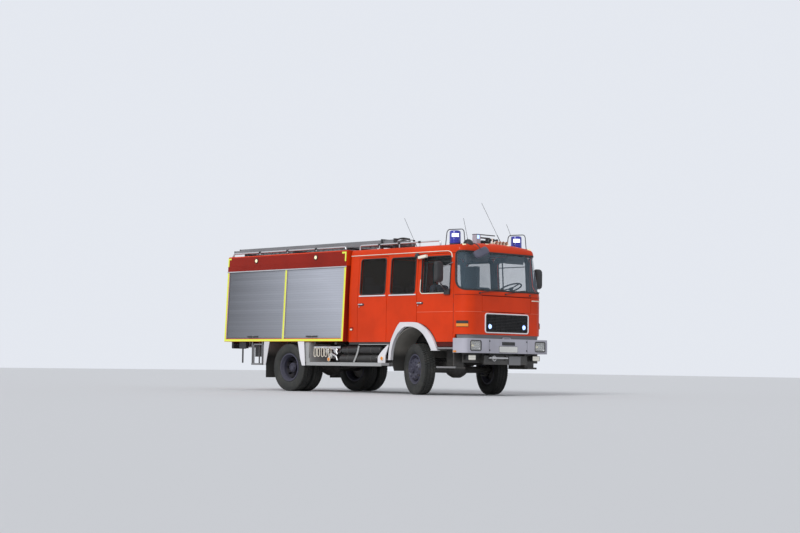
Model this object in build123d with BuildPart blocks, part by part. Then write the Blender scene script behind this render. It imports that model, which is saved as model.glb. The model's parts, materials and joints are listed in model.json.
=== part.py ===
"""A medium four-wheel-drive crew-cab fire engine.

Millimetres. +X is forward, +Y is the vehicle's left and +Z is up. The origin is on the ground, on the
centreline, under the middle of the overall length. Places along the vehicle are given as distances
ahead of the front axle, because that is how such a chassis is drawn, and from_axle turns them into X.
"""
from build123d import *
import os
from math import cos, pi, sin, sqrt

os.makedirs("parts", exist_ok=True)

# Wheels and axles
front_axle_x = 2310
wheelbase = 3750
tyre_radius = 502
rim_radius = 298
bead_radius = 278
rim_half_width = 105
front_wheel_y = 1000
twin_outer_y = 1095
twin_spacing = 310
kingpin_y = 860
steer_angle = -20
knuckle_ball_radius = 85
spindle_radius = 42
spindle_clearance = 0.05

# Frame
rail_outer_y = 425
rail_width = 75
rail_height = 240
rail_wall = 12
frame_top_z = 965
frame_front = 1290
frame_rear = -5850

# Superstructure
body_front = -2012
body_rear = -5926
body_bottom_z = 1045
body_top_z = 2920
body_half_width = 1250
body_lean = 86
body_wall = 40
shutter_bottom_z = 1110
shutter_top_z = 2580
shutter_divider = -3920
divider_width = 60
corner_post = 66
locker_depth = 620
shutter_recess = 10
shutter_thickness = 24
slat_pitch = 49
slat_groove = 4

# Cab
cab_front_edge = 1356
cab_rear_edge = -1962
cab_half_width = 1140
cab_bottom_z = 1032
cab_front_bottom_z = 1180
corner_radius = 290
front_bow = 26
belt_z = 1950
drip_z = 2785
cab_lean = 55
crown_z = 2925
shoulder_z = 2862
screen_foot_z = 1975
screen_rake = 180
wall = 45
glass_inset = 16
glass_thickness = 7

# Doors, all hinged at their front edges
door_gap = 8
door_top_z = 2742
door_bottom_z = 1033
front_door = (0, 990)
rear_door = (-1707, -865)

# Front wheel arch
arch_centre = -80
arch_centre_z = 720
arch_outer_radius = 690
arch_inner_radius = 602
arch_rear_z = 670
arch_front_z = 862
arch_proud = 55
arch_gap = 10

# Bumper
bumper_front = 1395
bumper_half_width = 1215
bumper_bottom_z = 825
bumper_top_z = 1105
bumper_wrap = 1067
bumper_sheet = 12
headlamp_y = 928
headlamp_z = 968
headlamp_size = (300, 196)
lamp_frame_depth = 3
bolt_hole_y = 535
bolt_hole_z = (883, 1058)
bolt_hole_radius = 11
towing_pin_radius = 20


def from_axle(distance):
    """X of a place that lies this far ahead of the front axle."""
    return front_axle_x + distance


def block(x_span, y_span, z_span, mode=Mode.ADD):
    """A rectangular block between two X, two Y and two Z planes."""
    size = [span[1] - span[0] for span in (x_span, y_span, z_span)]
    middle = [(span[1] + span[0]) / 2 for span in (x_span, y_span, z_span)]
    with Locations(tuple(middle)):
        Box(*size, mode=mode)


def bar(start, end, radius, sides=8):
    """A straight bar with flat sides between two points."""
    reach = Vector(end) - Vector(start)
    with BuildSketch(Plane(origin=start, z_dir=reach)) as section:
        RegularPolygon(radius, sides)
    extrude(section.sketch, amount=reach.length)


def half_ball(radius, flats):
    """Half of a ball's outline, as flats between points that lie on its radius, from one pole to the other."""
    turns = [pi * step / flats for step in range(flats + 1)]
    return [(-radius * cos(turn), radius * sin(turn)) for turn in turns]


def turned(profile, centre, axis, sides, mode=Mode.ADD):
    """A closed outline of (along, radius) points carried round an axis as flat facets, its corners on their radii."""
    along = Vector(axis).normalized()
    first = along.cross(Vector(0, 0, 1) if abs(along.Z) < 0.9 else Vector(1, 0, 0)).normalized()
    second = along.cross(first)
    rings = []
    for step in range(sides):
        turn = 2 * pi * step / sides
        spoke = first * cos(turn) + second * sin(turn)
        rings.append([Vector(centre) + along * distance + spoke * radius for distance, radius in profile])
    facets = []
    for step in range(sides):
        here = rings[step]
        there = rings[(step + 1) % sides]
        for low in range(len(profile)):
            high = (low + 1) % len(profile)
            corners = [here[low], here[high], there[high], there[low]]
            apart = [corner for place, corner in enumerate(corners) if (corner - corners[place - 1]).length > 0.001]
            if len(apart) > 2:
                facets.append(Face(Wire.make_polygon(apart)))
    add(Solid(Shell(facets)), mode=mode)


def outline_points(section):
    """The corners of a sketch's one face, in order, as (along, radius)."""
    edges = section.sketch_local.faces()[0].outer_wire().order_edges()
    ends = [(edge @ 0, edge @ 1) for edge in edges]
    points = []
    for place, (start, end) in enumerate(ends):
        following = ends[(place + 1) % len(ends)]
        shared = min(((corner - other).length, index) for index, corner in enumerate((start, end)) for other in following)
        corner = (start, end)[shared[1]]
        points.append((corner.X, max(corner.Y, 0)))
    return points


def write(piece, name):
    """Label a finished piece and write it."""
    piece.part.label = name
    export_step(piece.part, f"parts/{name}.step")


# Chassis frame: two channel rails with cross members, and the sills that carry the superstructure
cross_members = [1180, -1420, -2500, -3750, -4700, -5790]
with BuildPart() as chassis_frame:
    with BuildSketch(Plane.YZ.offset(from_axle(frame_rear))):
        with BuildLine():
            bottom_z = frame_top_z - rail_height
            inner_y = rail_outer_y - rail_width
            Polyline(
                (rail_outer_y, bottom_z),
                (rail_outer_y, frame_top_z),
                (inner_y, frame_top_z),
                (inner_y, frame_top_z - rail_wall),
                (rail_outer_y - rail_wall, frame_top_z - rail_wall),
                (rail_outer_y - rail_wall, bottom_z + rail_wall),
                (inner_y, bottom_z + rail_wall),
                (inner_y, bottom_z),
                close=True,
            )
        make_face()
    extrude(amount=frame_front - frame_rear)
    mirror(about=Plane.XZ)
    for place in cross_members:
        web = rail_outer_y - rail_wall
        block(
            (from_axle(place) - 40, from_axle(place) + 40),
            (-web, web),
            (frame_top_z - rail_height + 40, frame_top_z - 60),
        )
    for side in (-1, 1):
        edges = sorted((side * (rail_outer_y - 65), side * (rail_outer_y - 5)))
        block((from_axle(body_rear) + 60, from_axle(body_front) - 60), edges, (frame_top_z, body_bottom_z))
write(chassis_frame, "chassis_frame")


# Axles: a tube with a round differential housing, and a ball at each end of the front one
rear_hub_y = twin_outer_y - twin_spacing / 2
axle_tube_radius = 62
differential_radius = 166
ball_flats = 8
axle_sides = 24
with BuildPart() as axles:
    for x, tube_end in ((front_axle_x, kingpin_y), (front_axle_x - wheelbase, rear_hub_y - 150)):
        profile = (
            (-tube_end, 0),
            (-tube_end, axle_tube_radius),
            (-270, axle_tube_radius + 8),
            (-180, differential_radius - 40),
            (-80, differential_radius),
            (80, differential_radius),
            (180, differential_radius - 40),
            (270, axle_tube_radius + 8),
            (tube_end, axle_tube_radius),
            (tube_end, 0),
        )
        turned(profile, (x, 0, tyre_radius), (0, 1, 0), axle_sides)
    for side in (-1, 1):
        ball_centre = (front_axle_x, side * kingpin_y, tyre_radius)
        turned(half_ball(knuckle_ball_radius, ball_flats), ball_centre, (0, 1, 0), axle_sides)
        with Locations((front_axle_x - wheelbase, side * (rear_hub_y - 90), tyre_radius)):
            Cylinder(spindle_radius, 120, rotation=(90, 0, 0))
write(axles, "axles")


# Leaf springs: an arched pack under each rail, clamped on top of its axle by a seat
spring_y = rail_outer_y - rail_width / 2
spring_table = ((front_axle_x, 1400, 60), (front_axle_x - wheelbase, 1500, 90))
with BuildPart() as leaf_springs:
    for x, length, depth in spring_table:
        eye_z = frame_top_z - rail_height - 45
        seat_z = tyre_radius + axle_tube_radius + 26
        for side in (-1, 1):
            y = side * spring_y
            with BuildSketch(Plane.XZ.offset(-y - 40)):
                with BuildLine():
                    ThreePointArc((x - length / 2, eye_z), (x, seat_z), (x + length / 2, eye_z))
                    Line((x + length / 2, eye_z), (x + length / 2, eye_z + 14))
                    ThreePointArc(
                        (x + length / 2, eye_z + 14),
                        (x, seat_z + depth),
                        (x - length / 2, eye_z + 14),
                    )
                    Line((x - length / 2, eye_z + 14), (x - length / 2, eye_z))
                make_face()
            extrude(amount=80)
            for end in (-1, 1):
                eye_x = x + end * length / 2
                block((eye_x - 30, eye_x + 30), (y - 40, y + 40), (eye_z - 20, frame_top_z - rail_height))
            block((x - 70, x + 70), (y - 48, y + 48), (seat_z - 14, seat_z + 4))
write(leaf_springs, "leaf_springs")


# Powertrain: the engine as one plain block, gearbox, transfer case and the propeller shafts
engine_top_z = 1420
transfer_x = -1150
shaft_radius = 42
with BuildPart() as powertrain:
    block((from_axle(-560), from_axle(1060)), (-325, 325), (750, engine_top_z))
    block((from_axle(-960), from_axle(-560)), (-200, 200), (700, 1000))
    block((from_axle(transfer_x - 200), from_axle(transfer_x + 200)), (-210, 210), (600, 940))
    shaft_table = ((transfer_x + 190, -differential_radius + 20), (transfer_x - 190, -wheelbase + differential_radius - 20))
    for start, end in shaft_table:
        with BuildSketch(Plane(origin=(from_axle(start), 0, 690), x_dir=(0, 1, 0), z_dir=(end - start, 0, tyre_radius - 690))):
            Circle(shaft_radius)
        extrude(amount=0.93 * sqrt((end - start) ** 2 + (tyre_radius - 690) ** 2))
write(powertrain, "powertrain")


# Two air tanks on the right and the fuel tank on the left, hung from the frame between the axles
tank_table = ((-2215, -1020, 872), (-2270, -1110, 700))
tank_y = -1060
tank_radius = 82
tank_end = 26
tank_sides = 24
with BuildPart() as air_tanks:
    for rear, front, z in tank_table:
        length = front - rear
        profile = (
            (0, 0),
            (0, tank_radius - tank_end),
            (tank_end, tank_radius),
            (length - tank_end, tank_radius),
            (length, tank_radius - tank_end),
            (length, 0),
        )
        turned(profile, (from_axle(rear), tank_y, z), (1, 0, 0), tank_sides)
    for x in (-2000, -1300):
        block(
            (from_axle(x) - 25, from_axle(x) + 25),
            (tank_y, -rail_outer_y),
            (700, 880),
        )
write(air_tanks, "air_tanks")

with BuildPart() as fuel_tank:
    block((from_axle(-2300), from_axle(-1050)), (560, 1150), (560, 960))
    fillet(fuel_tank.edges().filter_by(Axis.X), radius=60)
    for x in (-2050, -1300):
        block((from_axle(x) - 25, from_axle(x) + 25), (rail_outer_y, 600), (760, 880))
write(fuel_tank, "fuel_tank")


wheel_sides = 40


# Outer half of a tyre's section, from bead to tread: distance from its middle, radius
tyre_profile = ((91, bead_radius), (91, rim_radius + 2), (131, 398), (117, 474), (101, tyre_radius))


def tyre_section(offset):
    """Half section of a tyre: beads, bulging sidewalls, bevelled shoulders and the tread."""
    right = [(offset + along, radius) for along, radius in tyre_profile]
    left = [(offset - along, radius) for along, radius in reversed(tyre_profile)]
    return [*right, *left]


def rim_barrel(offset, dish):
    """Half section of a rim's barrel: flanges, bead seats and a well that lies away from the dish."""
    flange = rim_half_width
    sheet = 12
    well = 246
    with BuildLine() as outline:
        Polyline(
            (offset - dish * flange, rim_radius),
            (offset - dish * (flange - sheet), rim_radius),
            (offset - dish * (flange - sheet), bead_radius - 1),
            (offset - dish * 36, well),
            (offset + dish * 44, well),
            (offset + dish * (flange - sheet), bead_radius - 1),
            (offset + dish * (flange - sheet), rim_radius),
            (offset + dish * flange, rim_radius),
            (offset + dish * flange, bead_radius - sheet),
            (offset + dish * 48, well - sheet),
            (offset - dish * 40, well - sheet),
            (offset - dish * flange, bead_radius - sheet),
            close=True,
        )
    make_face(outline.edges())


def rim_disc(offset, dish, face):
    """Half section of a wheel disc, from the barrel's well to the mounting face near the hub."""
    with BuildLine() as outline:
        Polyline(
            (offset + dish * 10, 240),
            (offset + dish * 36, 240),
            (offset + dish * (face + 14), 188),
            (offset + dish * (face + 14), 92),
            (offset + dish * face, 92),
            (offset + dish * face, 182),
            close=True,
        )
    make_face(outline.edges())


hand_hole_radius = 26
hand_hole_sides = 8
hand_hole_ring = 212
hand_holes = 10
disc_face = 112
twin_face = twin_spacing / 2
hub_radius = 96
drum_radius = 206


def hand_hole_cut(hub, outward):
    """The ring of round holes through a wheel's disc."""
    ring = Plane(origin=hub - outward * 200, x_dir=(0, 0, 1), z_dir=outward)
    with BuildSketch(ring) as holes:
        with PolarLocations(hand_hole_ring, hand_holes):
            RegularPolygon(hand_hole_radius, hand_hole_sides)
    extrude(holes.sketch, amount=400, mode=Mode.SUBTRACT)


def hub_and_drum(hub, outward, drum_span, nose_span, nose_radius):
    """The hub, its nose and the brake drum behind it, with the bore that runs on the spindle."""
    profile = (
        (drum_span[0], 0),
        (drum_span[0], 120),
        (drum_span[0] + 20, drum_radius),
        (drum_span[1] - 20, drum_radius),
        (drum_span[1], hub_radius + 84),
        (drum_span[1], hub_radius - 4),
        (nose_span[0], hub_radius - 4),
        (nose_span[0], nose_radius),
        (nose_span[1] - 12, nose_radius),
        (nose_span[1], nose_radius - 12),
        (nose_span[1], 0),
    )
    turned(profile, hub, outward, wheel_sides)
    with BuildSketch(Plane(origin=hub + outward * drum_span[0], x_dir=(0, 0, 1), z_dir=outward)) as bore:
        Circle(spindle_radius + spindle_clearance)
    extrude(bore.sketch, amount=nose_span[0] - drum_span[0], mode=Mode.SUBTRACT)


# Front wheels: the tyre, and the rim with its disc, hub and brake drum, turned by the steering
for side, word in ((-1, "right"), (1, "left")):
    outward = Vector(0, side, 0).rotate(Axis.Z, steer_angle)
    kingpin = Vector(front_axle_x, side * kingpin_y, tyre_radius)
    hub = kingpin + outward * (front_wheel_y - kingpin_y)
    with BuildPart() as front_tyre:
        turned(tyre_section(0), hub, outward, wheel_sides)
    write(front_tyre, f"front_{word}_tyre")
    with BuildPart() as front_rim:
        with BuildSketch() as section:
            rim_barrel(0, 1)
            rim_disc(0, 1, disc_face)
        turned(outline_points(section), hub, outward, wheel_sides)
        hand_hole_cut(hub, outward)
        hub_and_drum(hub, outward, (-20, disc_face), (disc_face + 20, disc_face + 62), hub_radius - 22)
    write(front_rim, f"front_{word}_rim")

    # Steering knuckle: a cup round the axle's ball, king pin ears, a flange and the spindle
    with BuildPart() as knuckle:
        ball_gap = 8
        cup_radius = knuckle_ball_radius + ball_gap + 16
        with BuildSketch() as cup:
            with BuildLine() as shell:
                Polyline(*half_ball(cup_radius, ball_flats), close=True)
            make_face(shell.edges())
            with BuildLine() as hollow:
                Polyline(*half_ball(knuckle_ball_radius + ball_gap, ball_flats), close=True)
            make_face(hollow.edges(), mode=Mode.SUBTRACT)
            with Locations((6 + cup_radius, cup_radius)):
                Rectangle(2 * cup_radius, 2 * cup_radius, mode=Mode.INTERSECT)
        turned(outline_points(cup), kingpin, outward, axle_sides)
        spindle_start = cup_radius - 6
        spindle_end = front_wheel_y - kingpin_y + disc_face + 14
        with BuildSketch(Plane(origin=kingpin + outward * spindle_start, x_dir=(0, 0, 1), z_dir=outward)) as shaft:
            Circle(spindle_radius)
        extrude(shaft.sketch, amount=spindle_end - spindle_start)
        for lift in (-1, 1):
            ear_foot = lift * (knuckle_ball_radius + ball_gap + 2)
            with BuildSketch(Plane(origin=kingpin + Vector(0, 0, ear_foot), z_dir=(0, 0, lift))) as ear:
                Circle(26)
            extrude(ear.sketch, amount=40)
        arm = Plane(origin=kingpin + outward * 8 + Vector(0, 0, -124), x_dir=outward, z_dir=(0, 0, 1))
        with BuildSketch(arm) as arm_outline:
            with Locations((0, side * 105)):
                Rectangle(46, 210)
        extrude(arm_outline.sketch, amount=24)
    write(knuckle, f"{word}_knuckle")


# Rear wheels: twins on one hub, the discs back to back
for side, word in ((-1, "right"), (1, "left")):
    outward = Vector(0, side, 0)
    hub = Vector(front_axle_x - wheelbase, side * rear_hub_y, tyre_radius)
    with BuildPart() as rear_tyres:
        for offset in (-twin_face, twin_face):
            turned(tyre_section(offset), hub, outward, wheel_sides)
    write(rear_tyres, f"rear_{word}_tyres")
    with BuildPart() as rear_rims:
        for dish in (-1, 1):
            with BuildSketch() as section:
                rim_barrel(dish * twin_face, -dish)
                rim_disc(dish * twin_face, -dish, twin_face - 14)
            turned(outline_points(section), hub, outward, wheel_sides)
        hand_hole_cut(hub, outward)
        hub_and_drum(hub, outward, (-150, -10), (60, 186), hub_radius - 14)
    write(rear_rims, f"rear_{word}_rims")


# Superstructure: leaning sides and a flat roof, with two lockers on each side and one at the rear
def body_section(inset, low, high):
    """The superstructure's cross section between two heights, drawn in from its leaning sides by inset."""
    slope = body_lean / (body_top_z - body_bottom_z)
    foot = body_half_width - inset - slope * (low - body_bottom_z)
    head = body_half_width - inset - slope * (high - body_bottom_z)
    with BuildLine() as outline:
        Polyline((-foot, low), (foot, low), (head, high), (-head, high), close=True)
    make_face(outline.edges())


bays = (
    (body_rear + corner_post, shutter_divider - divider_width / 2),
    (shutter_divider + divider_width / 2, body_front - corner_post),
)
locker_floor_z = body_bottom_z + body_wall
locker_back_y = body_half_width - locker_depth
with BuildPart() as body_shell:
    with BuildSketch(Plane.YZ.offset(from_axle(body_rear))):
        body_section(0, body_bottom_z, body_top_z)
    extrude(amount=body_front - body_rear)
    fillet(body_shell.edges().filter_by(Axis.X).group_by(Axis.Z)[-1], radius=40)
    for rear, front in bays:
        with BuildSketch(Plane.YZ.offset(from_axle(rear))) as opening:
            body_section(-50, shutter_bottom_z, shutter_top_z)
            with Locations((0, (body_bottom_z + body_top_z) / 2)):
                Rectangle(2 * locker_back_y, 2000, mode=Mode.SUBTRACT)
        extrude(opening.sketch, amount=front - rear, mode=Mode.SUBTRACT)
    block(
        (from_axle(body_rear) - 10, from_axle(body_rear) + 1100),
        (-locker_back_y + body_wall, locker_back_y - body_wall),
        (shutter_bottom_z, shutter_top_z),
        mode=Mode.SUBTRACT,
    )
    block(
        (from_axle(body_rear) + 1140, from_axle(body_front) - body_wall),
        (-locker_back_y + body_wall, locker_back_y - body_wall),
        (body_bottom_z - 10, shutter_top_z),
        mode=Mode.SUBTRACT,
    )
write(body_shell, "body_shell")


# Roller shutters: ribbed curtains of slats, let into the openings, each with a lift bar at its foot
def curtain_section(low, high):
    """Half section of a curtain: a leaning sheet with a shallow groove between each two slats."""
    slope = body_lean / (body_top_z - body_bottom_z)
    rows = int((high - low) / slat_pitch)
    face = body_half_width - shutter_recess + slope * body_bottom_z
    points = [(face - slope * low, low)]
    for row in range(1, rows + 1):
        z = low + row * (high - low) / rows
        points += [(face - slope * z, z - 8), (face - slope * z - slat_groove, z - 3)]
        points += [(face - slope * z, z)]
    points += [(face - slope * high - shutter_thickness, high), (face - slope * low - shutter_thickness, low)]
    with BuildLine() as outline:
        Polyline(*points, close=True)
    make_face(outline.edges())


bar_z = shutter_bottom_z + 42
with BuildPart() as shutters:
    for rear, front in bays:
        with BuildSketch(Plane.YZ.offset(from_axle(rear))) as curtain:
            curtain_section(shutter_bottom_z, shutter_top_z)
        extrude(curtain.sketch, amount=front - rear)
        middle = from_axle((rear + front) / 2)
        outer = body_half_width - shutter_recess - 4
        block((middle - 170, middle + 170), (outer - 10, outer + 14), (bar_z - 12, bar_z + 12))
    mirror(about=Plane.XZ)
    block(
        (from_axle(body_rear) + shutter_recess, from_axle(body_rear) + shutter_recess + shutter_thickness),
        (-locker_back_y + body_wall, locker_back_y - body_wall),
        (shutter_bottom_z, shutter_top_z),
    )
write(shutters, "shutters")

with BuildPart() as water_tank:
    block((from_axle(-4700), from_axle(-2100)), (-480, 480), (body_bottom_z, 2150))
write(water_tank, "water_tank")


# Cab: one rounded form, made hollow and split where its panels meet
def cab_form(inset, drop):
    """The cab's closed shape, drawn in on every face by inset, with its foot lowered by drop."""
    half = cab_half_width - inset
    rear = from_axle(cab_rear_edge) + inset
    nose = from_axle(cab_front_edge) - inset
    with BuildPart() as form:
        with BuildSketch(Plane.XY.offset(cab_bottom_z - 400)) as plan:
            with BuildLine():
                Polyline((nose - front_bow, -half), (rear, -half), (rear, half), (nose - front_bow, half))
                ThreePointArc((nose - front_bow, half), (nose, 0), (nose - front_bow, -half))
            make_face()
            fillet(plan.vertices().group_by(Axis.X)[-1], radius=corner_radius - inset)
        extrude(amount=2600)
        with BuildSketch(Plane.YZ.offset(from_axle(0))) as section:
            with BuildLine():
                shoulder = half - cab_lean - 14
                Polyline(
                    (-shoulder, shoulder_z - inset),
                    (-(half - cab_lean), drip_z),
                    (-half, belt_z),
                    (-half, cab_bottom_z - 300),
                    (half, cab_bottom_z - 300),
                    (half, belt_z),
                    (half - cab_lean, drip_z),
                    (shoulder, shoulder_z - inset),
                )
                ThreePointArc((shoulder, shoulder_z - inset), (0, crown_z - inset), (-shoulder, shoulder_z - inset))
            make_face()
            fillet(section.vertices().group_by(Axis.Z)[-1], radius=50 - inset / 2)
        extrude(section.sketch, amount=6000, both=True, mode=Mode.INTERSECT)
        with BuildSketch(Plane.XZ) as profile:
            brow = nose - screen_rake
            with BuildLine():
                Polyline(
                    (rear, crown_z + 40),
                    (rear, cab_bottom_z - drop),
                    (from_axle(front_door[1]) + 20, cab_bottom_z - drop),
                    (from_axle(front_door[1]) + 60, cab_front_bottom_z - drop),
                    (nose, cab_front_bottom_z - drop),
                    (nose, screen_foot_z),
                    (brow, drip_z),
                    (brow - 120, crown_z - 6 - inset),
                    (brow - 700, crown_z + 40 - inset),
                    close=True,
                )
            make_face()
            fillet(profile.vertices().filter_by_position(Axis.Z, crown_z - 7 - inset, crown_z - 5 - inset), radius=110)
        extrude(profile.sketch, amount=2000, both=True, mode=Mode.INTERSECT)
    return form.part


cab_outside = cab_form(0, 0)
cab_inside = cab_form(wall, 400)
cab_shell = cab_outside - cab_inside
glass_shell = cab_form(glass_inset, 0) - cab_form(glass_inset + glass_thickness, 400)


def rounded_window(plane, corners, radius):
    """A window's outline with rounded corners, on an upright plane."""
    with BuildSketch(plane) as outline:
        with BuildLine():
            Polyline(*corners, close=True)
        make_face()
        fillet(outline.vertices(), radius=radius)
    return outline.sketch


def slab(x_span, z_span, y_span=(-1400, 1400)):
    """A block as a loose solid, to cut or pick parts of the cab's skin."""
    return Pos(sum(x_span) / 2, sum(y_span) / 2, sum(z_span) / 2) * Box(
        x_span[1] - x_span[0], y_span[1] - y_span[0], z_span[1] - z_span[0]
    )


def upright_prism(outline):
    """An outline on the lengthwise plane, carried through the whole width of the cab."""
    return extrude(outline, amount=1400, both=True)


arch_cut = Pos(from_axle(arch_centre), 0, arch_centre_z) * Cylinder(
    arch_outer_radius + arch_gap, 3000, rotation=(90, 0, 0)
)
window_table = {
    "front": ((110, 890), (1990, 2690)),
    "middle": ((-755, -68), (1990, 2700)),
    "rear": ((-1640, -915), (1995, 2705)),
}
window_radius = 55
window_outlines = {}
for name, ((rear, front), (low, high)) in window_table.items():
    corners = [
        (from_axle(rear), low),
        (from_axle(front), low),
        (from_axle(front), high),
        (from_axle(rear), high),
    ]
    window_outlines[name] = upright_prism(rounded_window(Plane.XZ, corners, window_radius))

screen_half_foot = 1035
screen_half_head = 985
screen_corners = [
    (-screen_half_foot, 2035),
    (screen_half_foot, 2035),
    (screen_half_head, 2748),
    (-screen_half_head, 2748),
]
screen_outline = rounded_window(Plane.YZ.offset(from_axle(front_door[1]) + 30), screen_corners, 110)
screen_prism = extrude(screen_outline, amount=900)

flap_half = 700
flap_z = (1625, 1925)
flap_foot_gap = 12
flap_prism = slab(
    (from_axle(1250), from_axle(1400)), (flap_z[0], flap_z[1]), (-flap_half, flap_half)
)
flap_opening = slab(
    (from_axle(1250), from_axle(1400)),
    (flap_z[0] - flap_foot_gap, flap_z[1] + door_gap),
    (-flap_half - door_gap, flap_half + door_gap),
)
grille_half = 610
grille_z = (1230, 1578)
grille_opening = slab((from_axle(1250), from_axle(1400)), grille_z, (-grille_half, grille_half))

front_region = slab((from_axle(front_door[1]) + door_gap, from_axle(1500)), (900, drip_z))
side_region = slab((from_axle(cab_rear_edge) + wall, from_axle(front_door[1]) + door_gap), (900, drip_z))
rear_region = slab((from_axle(cab_rear_edge) - 10, from_axle(cab_rear_edge) + wall), (900, drip_z))
roof_region = slab((from_axle(cab_rear_edge) - 10, from_axle(1500)), (drip_z, 3000))


def door_blank(span, grow):
    """A door's outline carried through the cab, grown on every side, with its foot left open when grown."""
    foot = door_bottom_z if grow == 0 else 900
    return slab((from_axle(span[0]) - grow, from_axle(span[1]) + grow), (foot, door_top_z + grow))


with BuildPart() as cab_roof:
    add(cab_shell & roof_region)
write(cab_roof, "cab_roof")

with BuildPart() as cab_rear_wall:
    add(cab_shell & rear_region)
write(cab_rear_wall, "cab_rear_wall")

with BuildPart() as cab_front:
    add((cab_shell & front_region) - screen_prism - flap_opening - grille_opening)
write(cab_front, "cab_front")

pillars = cab_shell & side_region
for span in (front_door, rear_door):
    pillars = pillars - door_blank(span, door_gap)
with BuildPart() as cab_sides:
    add(pillars - window_outlines["middle"] - arch_cut)
write(cab_sides, "cab_sides")

with BuildPart() as windscreen:
    add(glass_shell & screen_prism)
write(windscreen, "windscreen")

with BuildPart() as side_glass:
    add(glass_shell & side_region & window_outlines["middle"])
write(side_glass, "side_glass")

with BuildPart() as front_flap:
    add(cab_shell & flap_prism)
write(front_flap, "front_flap")

halves = {"right": slab((-6000, 6000), (0, 3000), (-2000, 0)), "left": slab((-6000, 6000), (0, 3000), (0, 2000))}
door_table = (("front", front_door, "front"), ("rear", rear_door, "rear"))
for end, span, window in door_table:
    panel = (cab_shell & door_blank(span, 0)) - arch_cut
    for word, half in halves.items():
        with BuildPart() as door:
            add((panel & half) - window_outlines[window])
        write(door, f"{end}_{word}_door")
        with BuildPart() as door_glass:
            add(glass_shell & half & window_outlines[window])
        write(door_glass, f"{end}_{word}_glass")


# Grille: a rounded frame with thin bars, on the front panel's opening
grille_depth = 26
with BuildPart() as grille:
    face_x = from_axle(cab_front_edge) - 20
    with BuildSketch(Plane.YZ.offset(face_x)):
        with Locations((0, sum(grille_z) / 2)):
            RectangleRounded(2 * grille_half - 2, grille_z[1] - grille_z[0] - 2, 30)
            RectangleRounded(2 * grille_half - 50, grille_z[1] - grille_z[0] - 50, 12, mode=Mode.SUBTRACT)
    extrude(amount=grille_depth)
    for row in range(9):
        z = grille_z[0] + 40 + row * (grille_z[1] - grille_z[0] - 80) / 8
        block((face_x, face_x + 14), (-grille_half + 20, grille_half - 20), (z - 8, z + 8))
    block((face_x - 14, face_x), (-grille_half + 2, grille_half - 2), (grille_z[0] + 2, grille_z[1] - 2))
write(grille, "grille")


# Cab floor: footwell, arched housings over the front wheels, rear floor and the tunnel over the engine
floor_z = 1045
floor_sheet = 35
floor_half = cab_half_width - wall - 10
tunnel_half = 400
tunnel_top_z = 1500
tunnel_gap = 2
housing_radius = arch_outer_radius + 10
front_floor = (582, 1265)
rear_floor = (-1917, -745)
with BuildPart() as cab_floor:
    for side in (-1, 1):
        edges = sorted((side * (tunnel_half + tunnel_gap), side * floor_half))
        block((from_axle(front_floor[0]), from_axle(front_floor[1])), edges, (floor_z, floor_z + floor_sheet))
        with BuildSketch(Plane.XZ.offset(-edges[1])) as housing:
            with Locations((from_axle(arch_centre), arch_centre_z)):
                Circle(housing_radius + floor_sheet)
                Circle(housing_radius, mode=Mode.SUBTRACT)
            with Locations((from_axle(arch_centre), floor_z - 1000)):
                Rectangle(3000, 2000, mode=Mode.SUBTRACT)
        extrude(housing.sketch, amount=edges[1] - edges[0])
    with BuildSketch(Plane.XY.offset(floor_z)) as rear_plate:
        with Locations((from_axle(sum(rear_floor) / 2), 0)):
            Rectangle(rear_floor[1] - rear_floor[0], 2 * floor_half)
        with Locations((from_axle(-800 + 200), 0)):
            Rectangle(400 + 2 * tunnel_gap, 2 * (tunnel_half + tunnel_gap), mode=Mode.SUBTRACT)
    extrude(rear_plate.sketch, amount=floor_sheet)
    block((from_axle(-800), from_axle(1200)), (-tunnel_half, tunnel_half), (floor_z - 5, tunnel_top_z))
    block(
        (from_axle(-800) + floor_sheet, from_axle(1200) - floor_sheet),
        (-tunnel_half + floor_sheet, tunnel_half - floor_sheet),
        (floor_z - 100, tunnel_top_z - floor_sheet),
        mode=Mode.SUBTRACT,
    )
    add(cab_inside, mode=Mode.INTERSECT)
write(cab_floor, "cab_floor")

with BuildPart() as dashboard:
    with BuildSketch(Plane.XZ.offset(-1050)) as panel:
        with BuildLine():
            Polyline(
                (from_axle(1040), 1560),
                (from_axle(1060), 1900),
                (from_axle(1230), 1960),
                (from_axle(1300), 1960),
                (from_axle(1300), 1560),
                close=True,
            )
        make_face()
    extrude(panel.sketch, amount=2100)
    fillet(dashboard.edges().filter_by(Axis.Y).group_by(Axis.X)[0], radius=30)
    with BuildSketch(Plane.XY.offset(1890)) as hood:
        with Locations((from_axle(1140), 600)):
            RectangleRounded(150, 460, 50)
    extrude(hood.sketch, amount=125, taper=12)
    add(cab_inside, mode=Mode.INTERSECT)
write(dashboard, "dashboard")

wheel_centre = Vector(from_axle(880), 600, 2010)
column_direction = Vector(-0.42, 0, 1).normalized()
with BuildPart() as steering_wheel:
    grip = [(16 * sin(pi * step / 4), 235 + 16 * cos(pi * step / 4)) for step in range(8)]
    turned(grip, wheel_centre, column_direction, 24)
    spoke_plane = Plane(origin=wheel_centre - column_direction * 8, x_dir=(0, 1, 0), z_dir=column_direction)
    with BuildSketch(spoke_plane) as spokes:
        Circle(58)
        for turn in (0, 120, 240):
            with Locations(Location((0, 0), turn)):
                with Locations((118, 0)):
                    Rectangle(232, 34)
    extrude(spokes.sketch, amount=14)
    with BuildSketch(Plane(origin=wheel_centre, z_dir=-column_direction)) as column:
        Circle(34)
    extrude(column.sketch, amount=300)
write(steering_wheel, "steering_wheel")

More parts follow.
